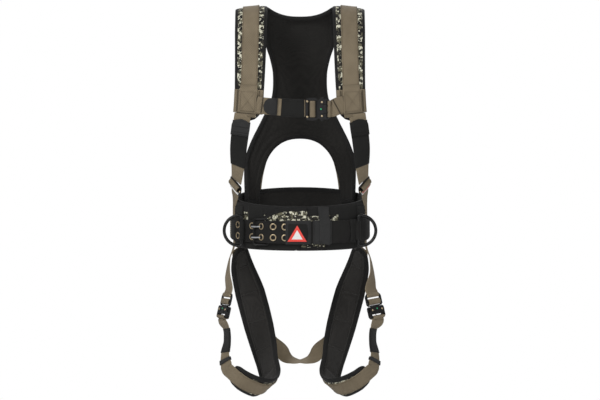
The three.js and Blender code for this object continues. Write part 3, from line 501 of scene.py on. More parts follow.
def sweep(name, frames, profile, surfaces, closedRun=False, endRound=0.0, ripple=0.0, seed=0.0, **more):
    # profile gives (u, height) round a closed section; endRound rounds the strap's free end
    run = lengths(frames)
    mesh = bpy.data.meshes.new(name)
    work = bmesh.new()
    layer = work.loops.layers.uv.new("strapUv")
    rings = []
    for f, r in zip(frames, run):
        shrink = 1.0
        left = run[-1] - r
        if endRound and left < endRound:
            shrink = math.sqrt(max(0.0, 1 - (1 - left / endRound) ** 2)) * 0.97 + 0.03
        ring = []
        for u, height in profile:
            wave = ripple * noise.noise(Vector((u * 1.3 + seed, r * 42, seed)))
            point = lifted(f, u * shrink, height + wave)
            ring.append((work.verts.new(point), u * shrink * f["width"] / 2, r))
        rings.append(ring)
    count = len(profile)
    pairs = list(zip(rings, rings[1:])) + ([(rings[-1], rings[0])] if closedRun else [])
    for low, high in pairs:
        for j in range(count):
            k = (j + 1) % count
            corners = [low[j], low[k], high[k], high[j]]
            face = work.faces.new([c[0] for c in corners])
            for loop, corner in zip(face.loops, corners):
                loop[layer].uv = (corner[1], corner[2])
    if not closedRun:
        for ring in (rings[0][::-1], rings[-1]):
            face = work.faces.new([c[0] for c in ring])
            for loop, corner in zip(face.loops, ring):
                loop[layer].uv = (corner[1], corner[2])
    bmesh.ops.recalc_face_normals(work, faces=work.faces)
    work.to_mesh(mesh)
    work.free()
    return newPiece(name, mesh, surfaces, **more)


def flatProfile(width, thickness):
    edge = min(0.9, thickness / width * 1.3)
    half = thickness / 2
    top = [(-1, 0), (-1 + edge * 0.3, half * 0.75), (-1 + edge, half), (-0.55, half), (-0.2, half),
           (0.2, half), (0.55, half),
           (1 - edge, half), (1 - edge * 0.3, half * 0.75), (1, 0)]
    return top + [(u, -h) for u, h in reversed(top[1:-1])]


def tubeProfile(width, low, high, wall):
    # a sewn sleeve: its hollow is filled by the strap, so only the outside and a short hem show
    middle, half = (low + high) / 2, (high - low) / 2 + wall
    return [(u, middle + h * half / 0.5) for u, h in
            [(-1, 0), (-0.97, 0.3), (-0.9, 0.46), (-0.6, 0.5), (-0.2, 0.52), (0.2, 0.52), (0.6, 0.5),
             (0.9, 0.46), (0.97, 0.3), (1, 0),
             (0.97, -0.3), (0.9, -0.46), (0.5, -0.5), (0, -0.5), (-0.5, -0.5), (-0.9, -0.46), (-0.97, -0.3)]]


def strap(name, frames, node, surface=None, thickness=0.0024, finish="tan_webbing", **more):
    piece = sweep(name, frames, flatProfile(frames[0]["width"], thickness), surface or tanWeb,
                  ripple=more.pop("ripple", 0.00025), finish=finish, **more)
    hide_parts(node)
    return piece


def sleeve(name, frames, node, low=-0.0012, high=0.0012, wall=0.0016, extra=0.0035, surface=None, **more):
    wide = [dict(f, width=f["width"] + extra) for f in frames]
    piece = sweep(name, wide, tubeProfile(wide[0]["width"], low, high, wall), surface or blackWeb,
                  ripple=more.pop("ripple", 0.0005), finish="black_webbing", **more)
    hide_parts(node)
    return piece


def stitches(name, runs, surface, pitch=0.0042, length=0.0030, radius=0.00045):
    # each run is a list of (place, direction, outward); a stitch is a small pointed thread
    mesh = bpy.data.meshes.new(name)
    work = bmesh.new()
    for run in runs:
        covered, due = 0.0, pitch / 2
        for (p, _, n), (q, _, _) in zip(run, run[1:]):
            span = (q - p).length
            while due <= covered + span and span > 0:
                centre = p.lerp(q, (due - covered) / span)
                along = (q - p).normalized()
                side = along.cross(n).normalized()
                rings = []
                for share, scale in ((-0.5, 0.35), (-0.25, 1.0), (0.25, 1.0), (0.5, 0.35)):
                    lift = n * (radius * (0.6 if abs(share) < 0.4 else -0.2))
                    rings.append([work.verts.new(centre + along * (share * length) + lift
                                                 + (side * math.cos(a) + n * math.sin(a)) * radius * scale)
                                  for a in (0.0, 1.257, 2.513, 3.770, 5.027)])
                for low, high in zip(rings, rings[1:]):
                    for j in range(5):
                        work.faces.new((low[j], low[(j + 1) % 5], high[(j + 1) % 5], high[j]))
                work.faces.new(rings[0][::-1])
                work.faces.new(rings[-1])
                due += pitch
            covered += span
    bmesh.ops.recalc_face_normals(work, faces=work.faces)
    work.to_mesh(mesh)
    work.free()
    return newPiece(name, mesh, surface)


def edgeRun(frames, u, height):
    return [(lifted(f, u, height), f["along"], f["outward"]) for f in frames]


def crossRun(frame, height, reach=0.8):
    steps = [i / 8 * 2 - 1 for i in range(9)]
    return [(lifted(frame, u * reach, height), frame["across"], frame["outward"]) for u in steps]


def boxRuns(frames, height, reach):
    # a sewn box with its diagonals
    sides = [edgeRun(frames, reach, height), edgeRun(frames, -reach, height)]
    ends = [crossRun(frames[0], height, reach), crossRun(frames[-1], height, reach)]
    count = len(frames) - 1
    diagonals = [[(lifted(f, s * reach * (2 * i / count - 1), height), f["along"], f["outward"]) for i,
                  f in enumerate(frames)]
                 for s in (1, -1)]
    return sides + ends + diagonals


# tan webbing

# each strap solid's first end and the way it faces there, on the left side
strapEnds = {
    "shoulder_pad": ((0.141, -0.237, -0.143), (0.18, -0.98, 0)),
    "leg_pad": ((0.183, -0.186, -0.818), (0.61, -0.75, -0.25)),
    "shoulder_webbing": ((0.140, -0.246, -0.117), (0.18, -0.98, 0)),
    "leg_webbing": ((0.209, -0.171, -0.677), (0.79, -0.56, 0.21)),
    "hip_webbing": ((0.194, -0.167, -0.609), (0.77, -0.54, 0.28)),
    "torso_webbing": ((0.171, -0.194, -0.306), (0.82, -0.51, -0.25)),
    "chest_strap": ((0.0, -0.261, -0.113), (0, -1, 0)),
}
stations = {"seat_strap": pathOf("seat_strap", (0.096, -0.025, -0.707), (0, 1, 0))}
for side, flip in (("left", False), ("right", True)):
    for part, (start, facing) in strapEnds.items():
        stations[side + "_" + part] = pathOf(side + "_" + part, rowSide(flip, start), rowSide(flip, facing))
path = {node: smoothFrames(rows) for node, rows in stations.items()}
thin = 0.0024
skin = thin / 2 + 0.0002
for side in ("left", "right"):
    shoulder = path[side + "_shoulder_webbing"]
    strap(side + "ShoulderWebbing", shoulder, side + "_shoulder_webbing", seed=1.7)
    onPad = shoulder[: round(len(shoulder) * 0.42)]
    runs = [edgeRun(onPad, u, skin) for u in (-0.88, 0.88)]
    stitches(side + "ShoulderThread", runs, tanThread)

    leg = path[side + "_leg_webbing"]
    strap(side + "LegWebbing", leg, side + "_leg_webbing", seed=3.1)
    onLegPad = leg[round(len(leg) * 0.26):]
    stitches(side + "LegThread", [edgeRun(onLegPad, u, skin) for u in (-0.88, 0.88)], tanThread)

    strap(side + "HipWebbing", path[side + "_hip_webbing"], side + "_hip_webbing", seed=5.2)
    torso = path[side + "_torso_webbing"]
    strap(side + "TorsoWebbing", torso, side + "_torso_webbing", seed=6.4)
    sleeve(side + "TorsoSleeve", coveredBy(side + "_torso_sleeve", torso), side + "_torso_sleeve")
    sleeve(side + "LegSleeve", coveredBy(side + "_leg_sleeve", leg), side + "_leg_sleeve", extra=0.006)
    keeper = coveredBy(side + "_leg_keeper", leg)
    sleeve(side + "LegKeeper", keeper, side + "_leg_keeper", wall=0.0030, extra=0.006, surface=ribbedElastic)
    strap(side + "ChestStrap", path[side + "_chest_strap"], side + "_chest_strap", seed=2.2)
strap("seatStrap", path["seat_strap"], "seat_strap", seed=4.4, ripple=0.0006)
print("webbing made")

# padded pieces


def puffed(distance, reach=0.014, low=0.34):
    # how full the foam is at a distance from the nearest seam
    share = min(1.0, max(0.0, distance / reach))
    return low + (1 - low) * math.sin(share * math.pi / 2)


def addGrid(work, layer, grid, uvs, openEdge=lambda a, b: False, outerSurface=0, innerSurface=1):
    # grid holds (outer point, inner point); the two sides are joined round the border
    outer = [[work.verts.new(p[0]) for p in row] for row in grid]
    inner = [[work.verts.new(p[1]) for p in row] for row in grid]
    rows, columns = len(grid), len(grid[0])

    def face(corners, marks, surface):
        made = work.faces.new(corners)
        made.material_index = surface
        for loop, (i, j) in zip(made.loops, marks):
            loop[layer].uv = uvs[i][j]

    for i in range(rows - 1):
        for j in range(columns - 1):
            marks = [(i, j), (i, j + 1), (i + 1, j + 1), (i + 1, j)]
            face([outer[a][b] for a, b in marks], marks, outerSurface)
            face([inner[a][b] for a, b in reversed(marks)], marks[::-1], innerSurface)
    border = [((i, 0), (i + 1, 0)) for i in range(rows - 1)] + [((i + 1, columns - 1), (i, columns - 1))
                                                                for i in range(rows - 1)]
    border += [((0, j + 1), (0, j)) for j in range(columns - 1)] + [((rows - 1, j), (rows - 1, j + 1))
                                                                    for j in range(columns - 1)]
    for (a, b), (c, d) in border:
        if not openEdge((a, b), (c, d)):
            face([outer[a][b], outer[c][d], inner[c][d], inner[a][b]], [(a, b), (c, d), (c, d), (a, b)],
                 innerSurface)


def swell(piece, sewn, settings):
    # blows the pad up between its sewn lines, then keeps every point near where it began
    start = [v.co.copy() for v in piece.data.vertices]
    bpy.ops.object.select_all(action="DESELECT")
    piece.select_set(True)
    bpy.context.view_layer.objects.active = piece
    group = piece.vertex_groups.new(name="sewn")
    group.add(sewn, 1.0, "REPLACE")
    cloth = piece.modifiers.new("swell", "CLOTH")
    cloth.settings.quality = 4
    cloth.settings.mass = 0.2
    cloth.settings.tension_stiffness = settings["stiffness"]
    cloth.settings.compression_stiffness = settings["stiffness"]
    cloth.settings.shear_stiffness = 4
    cloth.settings.bending_stiffness = 0.2
    cloth.settings.use_pressure = True
    cloth.settings.uniform_pressure_force = settings["pressure"]
    cloth.settings.vertex_group_mass = "sewn"
    cloth.settings.effector_weights.gravity = 0
    cloth.collision_settings.use_collision = False
    cloth.point_cache.frame_end = 20
    for number in range(1, 21):
        scene.frame_set(number)
    bpy.ops.object.modifier_apply(modifier="swell")
    for vertex, old in zip(piece.data.vertices, start):
        move = vertex.co - old
        if move.length > settings["cap"]:
            vertex.co = old + move.normalized() * settings["cap"]


def finishPad(name, work, surfaces, sewnTest, settings, nodes):
    bmesh.ops.remove_doubles(work, verts=work.verts, dist=0.00002)
    bmesh.ops.recalc_face_normals(work, faces=work.faces)
    mesh = bpy.data.meshes.new(name)
    work.to_mesh(mesh)
    work.free()
    piece = bpy.data.objects.new(name, mesh)
    scene.collection.objects.link(piece)
    for surface in surfaces:
        piece.data.materials.append(surface)
    swell(piece, [v.index for v in mesh.vertices if sewnTest(v.co)], settings)
    bpy.ops.object.select_all(action="DESELECT")
    piece.select_set(True)
    bpy.context.view_layer.objects.active = piece
    smooth = piece.modifiers.new("smooth", "SUBSURF")
    smooth.levels = smooth.render_levels = 1
    bpy.ops.object.modifier_apply(modifier="smooth")
    piece.data.shade_smooth()
    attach(piece, "harness")
    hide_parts(*nodes)
    return piece


def binding(name, edge, half, reach):
    # folded tape over a pad's edge; edge is a list of (place, away from the pad, outward)
    shape = [(-reach, half + 0.0026), (-reach * 0.55, half + 0.0022), (-0.002, half + 0.0011),
             (0.0008, half * 0.75), (0.0016, 0)]
    shape = shape + [(e, -n) for e, n in reversed(shape[:-1])]
    inside = [(e - 0.0006, n * 0.80) for e, n in reversed(shape)]
    frames = []
    for i, (p, away, n) in enumerate(edge):
        run = edge[(i + 1) % len(edge)][0] - edge[i - 1][0]
        square = run.cross(n).normalized()
        frames.append((p, square if square.dot(away) > 0 else -square, n))
    mesh = bpy.data.meshes.new(name)
    work = bmesh.new()
    layer = work.loops.layers.uv.new("strapUv")
    run, rings, last = 0.0, [], None
    for p, away, n in frames:
        run += (p - last).length if last else 0.0
        last = p
        rings.append(([work.verts.new(p + away * e + n * h) for e, h in shape + inside], run))
    count = len(shape) + len(inside)
    for (low, a), (high, b) in zip(rings, rings[1:] + [(rings[0][0], run + 0.004)]):
        for j in range(count):
            k = (j + 1) % count
            face = work.faces.new((low[j], low[k], high[k], high[j]))
            for loopCorner, uv in zip(face.loops,
                            ((j * 0.002, a), (j * 0.002 + 0.002, a), (j * 0.002 + 0.002, b), (j * 0.002, b))):
                loopCorner[layer].uv = uv
    bmesh.ops.recalc_face_normals(work, faces=work.faces)
    work.to_mesh(mesh)
    work.free()
    return newPiece(name, mesh, bindingTape, finish="black_webbing")


def borderOf(middles, normals):
    # the border of a grid of middle points, in order, with the direction away from the pad
    rows, columns = len(middles), len(middles[0])
    marks = [(i, 0) for i in range(rows)] + [(rows - 1, j) for j in range(1, columns)]
    marks += [(i, columns - 1) for i in range(rows - 2, -1, -1)] + [(0, j) for j in range(columns - 2, 0, -1)]
    edge = []
    for i, j in marks:
        inner = middles[min(max(i, 1), rows - 2)][min(max(j, 1), columns - 2)]
        normal = normals[i][j]
        away = middles[i][j] - inner
        away = (away - normal * away.dot(normal)).normalized()
        edge.append((middles[i][j], away, normal))
    return edge


def strapPad(name, frames, columns, half, seams, crossSeams, nodes, settings, rounded):
    run = lengths(frames)
    total = run[-1]
    middles, normals, grid, uvs, sewn = [], [], [], [], []
    for f, r in zip(frames, run):
        squeeze = 1.0
        for left in (r, total - r):
            if left < rounded:
                squeeze = min(squeeze, 0.35 + 0.65 * math.sqrt(max(0.0, 1 - (1 - left / rounded) ** 2)))
        middleRow, normalRow, gridRow, uvRow = [], [], [], []
        for j in range(columns + 1):
            u = (j / columns * 2 - 1)
            width = f["width"] / 2 * squeeze
            place = f["place"] + f["across"] * (u * width)
            fromEdge = min((1 - abs(u)) * width, r, total - r)
            distances = [abs(fromEdge - s) for s in seams]
            if fromEdge > max(seams):
                distances += [abs(r - c) for c in crossSeams]
            distance = min(distances) if fromEdge > min(seams) * 0.8 else 0.003
            fullness = puffed(distance)
            crease = 0.0007 * noise.noise(Vector((u * 2.2 + 7, r * 30, 1.3))) if fromEdge > 0.01 else 0
            under = abs(u) * f["width"] / 2 < 0.026
            thick = half * (0.42 + 0.5 * min(1.0, fromEdge / 0.010))
            outerHeight = thick if under or fromEdge < 0.010 else min(thick, half * 0.92)
            innerHeight = thick if fromEdge < 0.010 else half * fullness * 0.98 + crease
            if distance < 0.0026 or fromEdge < 0.010 or under:
                sewn.append(place + f["outward"] * outerHeight)
            if distance < 0.0026 or fromEdge < 0.010:
                sewn.append(place - f["outward"] * innerHeight)
            middleRow.append(place)
            normalRow.append(f["outward"])
            gridRow.append((place + f["outward"] * outerHeight, place - f["outward"] * innerHeight))
            uvRow.append((u * width, r))
        middles.append(middleRow)
        normals.append(normalRow)
        grid.append(gridRow)
        uvs.append(uvRow)
    work = bmesh.new()
    layer = work.loops.layers.uv.new("padUv")
    addGrid(work, layer, grid, uvs)
    marks = {tuple(round(c, 5) for c in point) for point in sewn}
    piece = finishPad(name, work, [camoCloth, settings["inside"]],
                      lambda co: tuple(round(c, 5) for c in co) in marks, settings, nodes)
    binding(name + "Binding", borderOf(middles, normals), half * 0.42, settings["tape"])
    return piece


padHalf = 0.0055
shoulderPadSettings = {"pressure": 3.0, "stiffness": 20, "cap": 0.0035, "fill": 0.6, "tape": 0.0185,
                       "inside": padKnit}
legPadSettings = {"pressure": 4.0, "stiffness": 15, "cap": 0.0045, "fill": 0.6, "tape": 0.010,
                  "inside": legKnit}
welt = {"inset": 0.014, "width": 0.0032, "thick": 0.0014, "height": 0.0030}
legSeams = [0.20, 0.275, 0.35, 0.43, 0.51]
for side in ("left", "right"):
    frames = smoothFrames(stations[side + "_shoulder_pad"], 0.005)
    strapPad(side + "ShoulderPad", frames, 16, padHalf, [0.010, 0.020], [], [side + "_shoulder_pad"],
             shoulderPadSettings, 0.02)
    frames = smoothFrames(stations[side + "_leg_pad"], 0.005)
    strapPad(side + "LegPad", frames, 22, padHalf, [welt["inset"]], legSeams, [side + "_leg_pad"],
             legPadSettings, 0.02)
    run = lengths(frames)
    # raised seam welts; their lighter colour is a painted highlight along the seams
    for sign, label in ((-1, "Inner"), (1, "Outer")):
        line = [frameAt(lifted(f, sign * (1 - welt["inset"] / (f["width"] / 2)), -welt["height"]),
                        f["along"], -f["outward"],
                        welt["width"]) for f in frames[4:-4]]
        sweep(side + "LegWelt" + label, line, flatProfile(welt["width"], welt["thick"]), padWeltHighlight,
              finish="pad_mesh")
    for number, seam in enumerate(legSeams, 1):
        f = frames[min(range(len(run)), key=lambda i: abs(run[i] - seam))]
        reach = 1 - welt["inset"] / (f["width"] / 2)
        line = [frameAt(lifted(f, u * reach, -welt["height"]), f["across"], -f["outward"], welt["width"])
                for u in (-1, -0.5, 0, 0.5, 1)]
        sweep(f"{side}LegSeam{number}", line, flatProfile(welt["width"], welt["thick"]), padWeltHighlight,
              finish="pad_mesh")
print("shoulder and leg pads made")

backPad = {
    "half": 0.006,
    "line": [(420, 116), (560, 112), (700, 106), (800, 110), (900, 107), (960, 97), (1010, 76), (1050, 40)],
    "inner": [(0, 1028), (0, 950), (0, 870), (0, 790), (0, 700), (28, 697), (52, 687), (72, 670),
              (87, 648), (98, 620), (106, 590), (110, 560), (112, 522)],
    "outer": [(88, 1053), (92, 1000), (92, 955), (80, 915), (72, 870), (76, 810), (100, 755), (132, 690),
              (149, 640), (150, 600), (148, 530)],
    "rows": 118, "columns": 22,
    "seams": [0.012, 0.030],
    "settings": {"pressure": 4.0, "stiffness": 15, "cap": 0.005, "fill": 0.6},
}


def alongPoints(points, share):
    # a smooth line through points, by share of its length
    vectors = [Vector((*p, 0)) for p in points]
    spans = [(b - a).length for a, b in zip(vectors, vectors[1:])]
    reach = share * sum(spans)
    for i, span in enumerate(spans):
        if reach <= span or i == len(spans) - 1:
            t = min(1.0, reach / span)
            before = vectors[i - 1] if i > 0 else vectors[0] * 2 - vectors[1]
            if vectors[i].x == 0 and vectors[i + 1].x > 0:
                before = Vector((-vectors[i + 1].x, vectors[i + 1].y, 0))  # the arch starts level
            after = vectors[i + 2] if i + 2 < len(vectors) else vectors[-1] * 2 - vectors[-2]
            return spline(before, vectors[i], vectors[i + 1], after, t)
        reach -= span


def backDepth(x, z):
    line = backPad["line"]
    i = max(k for k in range(len(line) - 1) if line[k][0] <= max(z, 420))
    t = min(1.0, (z - line[i][0]) / (line[i + 1][0] - line[i][0]))
    depths = [line[0][1], *[p[1] for p in line], line[-1][1]]
    depth = spline(*depths[i:i + 4], t) - x * x / 680
    reach = min(abs(x) / 157, 0.96)
    inside = 109 * math.sqrt(1 - reach * reach)
    blend = min(1.0, max(0.0, (z - 567) / 103))
    return inside + (depth - inside) * blend * blend * (3 - 2 * blend)


def neckShape(x):
    # the neck's dip below the straight line between its middle and its corner
    share = min(1.0, abs(x) / 88)
    return 25 * (share ** 2.6 - share)


rows, columns = backPad["rows"], backPad["columns"]
innerLine = [alongPoints(backPad["inner"], i / rows) for i in range(rows + 1)]
outerLine = [alongPoints(backPad["outer"], i / rows) for i in range(rows + 1)]
for point in innerLine:
    if point.x < 1.0:
        point.x = 0.0
archStart = next(i for i, p in enumerate(innerLine) if p.x > 0)
innerLine[archStart - 1].y = innerLine[archStart].y + 0.1
grid, uvs, middles, sewn = [], [], [], set()
for i in range(rows + 1):
    gridRow, uvRow, middleRow = [], [], []
    for j in range(columns + 1):
        p = innerLine[i].lerp(outerLine[i], j / columns)
        p.y += neckShape(p.x) * max(0.0, 1 - i / 14) ** 2
        fromOuter = min((p - q).length for q in outerLine) * mm
        fromTop = (p - innerLine[0].lerp(outerLine[0], j / columns)).length * mm
        fromInner = min((p - q).length for q in innerLine[archStart - 1:]) * mm
        fromEdge = min(fromOuter, fromTop, fromInner)
        lines = [abs(fromEdge - backPad["seams"][0])]
        if p.y < 800:
            lines.append(abs(min(fromOuter, fromInner) - backPad["seams"][1]))
        distance = min(lines) if fromEdge > 0.009 else 0.0
        half = backPad["half"]
        height = half * (0.42 + 0.5 * min(1.0,
                              fromEdge / 0.010)) if fromEdge < 0.010 else half * puffed(distance, 0.016, 0.45)
        depth = Vector((p.x, backDepth(p.x, p.y) - 129.5, p.y - 890)) * mm
        crease = 0.0009 * noise.noise(Vector((p.x * 0.028, p.y * 0.020, 4.0))) if fromEdge > 0.012 else 0
        outerPoint, innerPoint = depth + Vector((0, height, 0)), depth - Vector((0, height + crease, 0))
        if distance < 0.0028 or fromEdge < 0.010:
            for q in (outerPoint, innerPoint):
                sewn.update({(round(q.x, 5), round(q.y, 5), round(q.z, 5)),
                             (round(-q.x, 5), round(q.y, 5), round(q.z, 5))})
        gridRow.append((outerPoint, innerPoint))
        uvRow.append((p.x * mm, p.y * mm))
        middleRow.append(depth)
    grid.append(gridRow)
    uvs.append(uvRow)
    middles.append(middleRow)
work = bmesh.new()
layer = work.loops.layers.uv.new("padUv")
addGrid(work, layer, grid, uvs, openEdge=lambda a, b: a[1] == b[1] == 0 and max(a[0], b[0]) < archStart,
        outerSurface=0, innerSurface=0)
half = bmesh.ops.duplicate(work, geom=work.verts[:] + work.faces[:])["geom"]
bmesh.ops.scale(work, vec=(-1, 1, 1), verts=[g for g in half if isinstance(g, bmesh.types.BMVert)])
finishPad("backPad", work, [padKnit], lambda co: tuple(round(c, 5) for c in co) in sewn,
          backPad["settings"], ["back_pad"])

# the back pad's edge, once round: right side down, arch, left side up, neck
rightEdge = []
marks = [(i, columns) for i in range(rows + 1)] + [(rows, j) for j in range(columns - 1, -1, -1)]
marks += [(i, 0) for i in range(rows - 1, archStart - 1, -1)]
for i, j in marks:
    inner = middles[min(max(i, 1), rows - 1)][min(max(j, 1), columns - 1)]
    away = middles[i][j] - inner
    away.y = 0
    rightEdge.append((middles[i][j], away.normalized(), Vector((0, 1, 0))))
neckEdge = [(middles[0][j], Vector((0, 0, 1)), Vector((0, 1, 0))) for j in range(0, columns)]
mirrorPoint = lambda e: (Vector((-e[0].x, e[0].y, e[0].z)), Vector((-e[1].x, e[1].y, e[1].z)), e[2])
archTop = [(middles[archStart - 1][0], Vector((0, 0, -1)), Vector((0, 1, 0)))]
edge = rightEdge + archTop + [mirrorPoint(e) for e in reversed(rightEdge)] + [mirrorPoint(e)
                                                                   for e in reversed(neckEdge[1:])] + neckEdge
binding("backPadBinding", edge, backPad["half"] * 0.42, 0.008)
print("back pad made")

# waist pad and belt: places round the waist are angles from the front

waist = {"halfWidth": 178, "halfDepth": 130, "height": 455, "padHeight": 115, "backRise": 29, "tilt": 24,
         "drop": 10,
         "padHalf": 0.0065, "seams": [0.011, 0.024]}


def waistShare(angle):
    return (1 - math.cos(math.radians(angle))) / 2


def waistFrame(angle, offset, height, width=0.06):
    turn = math.radians(angle)
    a, b = waist["halfWidth"], waist["halfDepth"]
    place = Vector(((a + offset) * math.sin(turn), -(b + offset) * math.cos(turn) - 129.5, height - 890)) * mm
    along = Vector((a * math.cos(turn), b * math.sin(turn), 0))
    return frameAt(place, along, Vector((math.sin(turn) / a, -math.cos(turn) / b, 0)), width)


def waistLow(angle):
    return waist["height"] - waist["padHeight"] / 2 + waist["tilt"] * waistShare(angle)


def waistHigh(angle):
    return waist["height"] + waist["padHeight"] / 2 + (waist["tilt"] + waist["backRise"]) * waistShare(angle)


def beltHeight(angle):
    return waist["height"] - waist["drop"] + waist["tilt"] * waistShare(angle)


grid, uvs, middles, normals, sewn = [], [], [], [], set()
angles = [-3 + 359 * i / 180 for i in range(181)]
run = 0.0
for i, angle in enumerate(angles):
    low, high = waistLow(angle), waistHigh(angle)
    f = waistFrame(angle, -6.5, (low + high) / 2, (high - low) * mm)
    run += (f["place"] - middles[-1][12]).length if middles else 0.0
    fromEnd = min(i, 180 - i) * 0.0054
    gridRow, uvRow, middleRow = [], [], []
    for j in range(25):
        u = j / 24 * 2 - 1
        place = f["place"] + f["across"] * (u * f["width"] / 2)
        fromEdge = min((1 - abs(u)) * f["width"] / 2, fromEnd)
        distance = min(abs(fromEdge - s) for s in waist["seams"]) if fromEdge > 0.009 else 0.0
        height = waist["padHalf"] * (0.42 + 0.5 * min(1.0, fromEdge / 0.010))
        innerHeight = height if fromEdge < 0.010 else waist["padHalf"] * puffed(distance, 0.016, 0.5)
        outerPoint, innerPoint = place + f["outward"] * height, place - f["outward"] * innerHeight
        sewn.add(tuple(round(c, 5) for c in outerPoint))
        if distance < 0.003 or fromEdge < 0.010:
            sewn.add(tuple(round(c, 5) for c in innerPoint))
        gridRow.append((outerPoint, innerPoint))
        uvRow.append((u * f["width"] / 2, run))
        middleRow.append(place)
    grid.append(gridRow)
    uvs.append(uvRow)
    middles.append(middleRow)
    normals.append([f["outward"]] * 25)
work = bmesh.new()
layer = work.loops.layers.uv.new("padUv")
addGrid(work, layer, grid, uvs)
waistSettings = {"pressure": 3.0, "stiffness": 20, "cap": 0.004, "fill": 0.6}
finishPad("waistPad", work, [camoCloth, padKnit], lambda co: tuple(round(c, 5) for c in co) in sewn,
          waistSettings, ["waist_pad"])
binding("waistPadBinding", borderOf(middles, normals), waist["padHalf"] * 0.42, 0.010)

# smooth black facing along the top of the pad's outside
facing = [dict(waistFrame(angle, 0.6, waistHigh(angle) - 13, 0.021), curl=0.0) for angle in angles]
sweep("waistFacing", facing, flatProfile(0.021, 0.0012), bindingTape, finish="black_webbing")
for name, start, end in (("leftSideFacing", 35, 60), ("rightSideFacing", -51, -33)):
    side = []
    for i in range(15):
        angle = start + (end - start) * i / 14
        low, high = beltHeight(angle) + 24, waistHigh(angle) - 6
        side.append(waistFrame(angle, 0.9, (low + high) / 2, (high - low) * mm))
    sweep(name, side, flatProfile(0.04, 0.0014), blackWeb, finish="black_webbing", ripple=0.0003)
lowFacing = [waistFrame(angle, 0.8, waistLow(angle) + 12, 0.022) for angle in range(22, 361, 2)]
sweep("waistLowFacing", lowFacing, flatProfile(0.022, 0.0014), blackWeb, finish="black_webbing",
      ripple=0.0003)
print("waist pad made")
# belt and its keepers


def aroundWaist(start, end, offset, width, step):
    count = max(2, round(abs(end - start) / step))
    angles = [start + (end - start) * i / count for i in range(count + 1)]
    reach = offset if callable(offset) else lambda angle: offset
    return [waistFrame(angle, reach(angle), beltHeight(angle), width) for angle in angles]


def eased(value, low, high):
    t = min(1.0, max(0.0, (value - low) / (high - low)))
    return t * t * (3 - 2 * t)


belt = {"width": 0.060, "thickness": 0.0032, "inner": 5.9, "outer": 9.5, "overBar": 13.0}


def tailOffset(angle):
    up = belt["inner"] + (belt["overBar"] - belt["inner"]) * eased(angle, -39, -30.5)
    return up + (belt["outer"] - up) * eased(angle, -22.5, -11.5)


def beltTop(angle):
    return (tailOffset(angle) + 1.6 if angle > -45 else belt["inner"] + 1.6) * mm


baseFrames = aroundWaist(-23.5, 315, belt["inner"], belt["width"], 2.4)
tailFrames = aroundWaist(-44.5, 46, tailOffset, belt["width"], 1.0)
sweep("beltBase", baseFrames, flatProfile(belt["width"], belt["thickness"]), beltWeb,
      finish="black_webbing", ripple=0.0002)
strap("beltTail", tailFrames, "waist_belt", beltWeb, belt["thickness"], "black_webbing", endRound=0.026,
      ripple=0.0002)
for name, frames in (("beltBaseThread", baseFrames), ("beltTailThread", tailFrames[:-9])):
    stitches(name, [edgeRun(frames, u, 0.0018) for u in (-0.9, 0.9)], blackThread, 0.0046, 0.0034, 0.0004)

for node, start, end in (("patch_keeper", -12, 9), ("belt_tail_keeper", 11, 27)):
    frames = aroundWaist(start, end, 0, belt["width"], 1.0)
    sleeve(node.replace("_k", "K").replace("_tail", "Tail"), frames, node, 0.0044, 0.0112, 0.0016,
           surface=ribbedElastic)
    stitches(node.split("_")[0] + "Hem", [crossRun(frames[i], 0.0130, 0.9) for i in (1, -2)], blackThread,
             0.003, 0.0026)

patchFrames = aroundWaist(-9.3, 6.3, 14.4, 0.046, 0.8)
strap("beltPatch", patchFrames, "belt_patch", blackWeb, 0.0024, "black_webbing", endRound=0.004, ripple=0)


def onWaist(x, z, offset):
    # a point at a sideways distance and a height, on the waist's curve
    return waistFrame(math.degrees(math.asin(x / (waist["halfWidth"] + offset))), offset, z)["place"]


def cornerPatch(name, corners, inset, offset, thickness, surface):
    # a flat patch with straight edges, following the belt; inset 1 fills it, less leaves a border
    middle = [sum(c[i] for c in corners) / len(corners) for i in (0, 1)]
    outline = []
    for (x0, z0), (x1, z1) in zip(corners, corners[1:] + corners[:1]):
        outline += [(x0 + (x1 - x0) * k / 6, z0 + (z1 - z0) * k / 6) for k in range(6)]
    inner = [(middle[0] + (x - middle[0]) * (1 - inset), middle[1] + (z - middle[1]) * (1 - inset)) for x,
             z in outline]
    mesh = bpy.data.meshes.new(name)
    work = bmesh.new()
    rings = [[work.verts.new(onWaist(x, z, height)) for x, z in line]
             for line, height in ((inner, offset), (outline, offset), (outline, offset + thickness * 0.7),
                                  ([(x + (middle[0] - x) * 0.04, z + (middle[1] - z) * 0.04) for x,
                                    z in outline], offset + thickness),
                                  (inner, offset + thickness))]
    count = len(outline)
    for low, high in zip(rings, rings[1:] + rings[:1]):
        for j in range(count):
            work.faces.new((low[j], low[(j + 1) % count], high[(j + 1) % count], high[j]))
    bmesh.ops.recalc_face_normals(work, faces=work.faces)
    work.to_mesh(mesh)
    work.free()
    return newPiece(name, mesh, surface, smooth=False, finish="patch_red")


triangle = [(-33.5, 420.5), (18, 420.5), (-7.5, 464)]
cornerPatch("patchBorder", triangle, 0.42, 15.6, 0.9, patchRed)
cornerPatch("patchMiddle", [(x * 0.62 - 7.7 * 0.38, 435 + (z - 435) * 0.62) for x, z in triangle], 0.96,
            15.6, 0.5, patchPale)


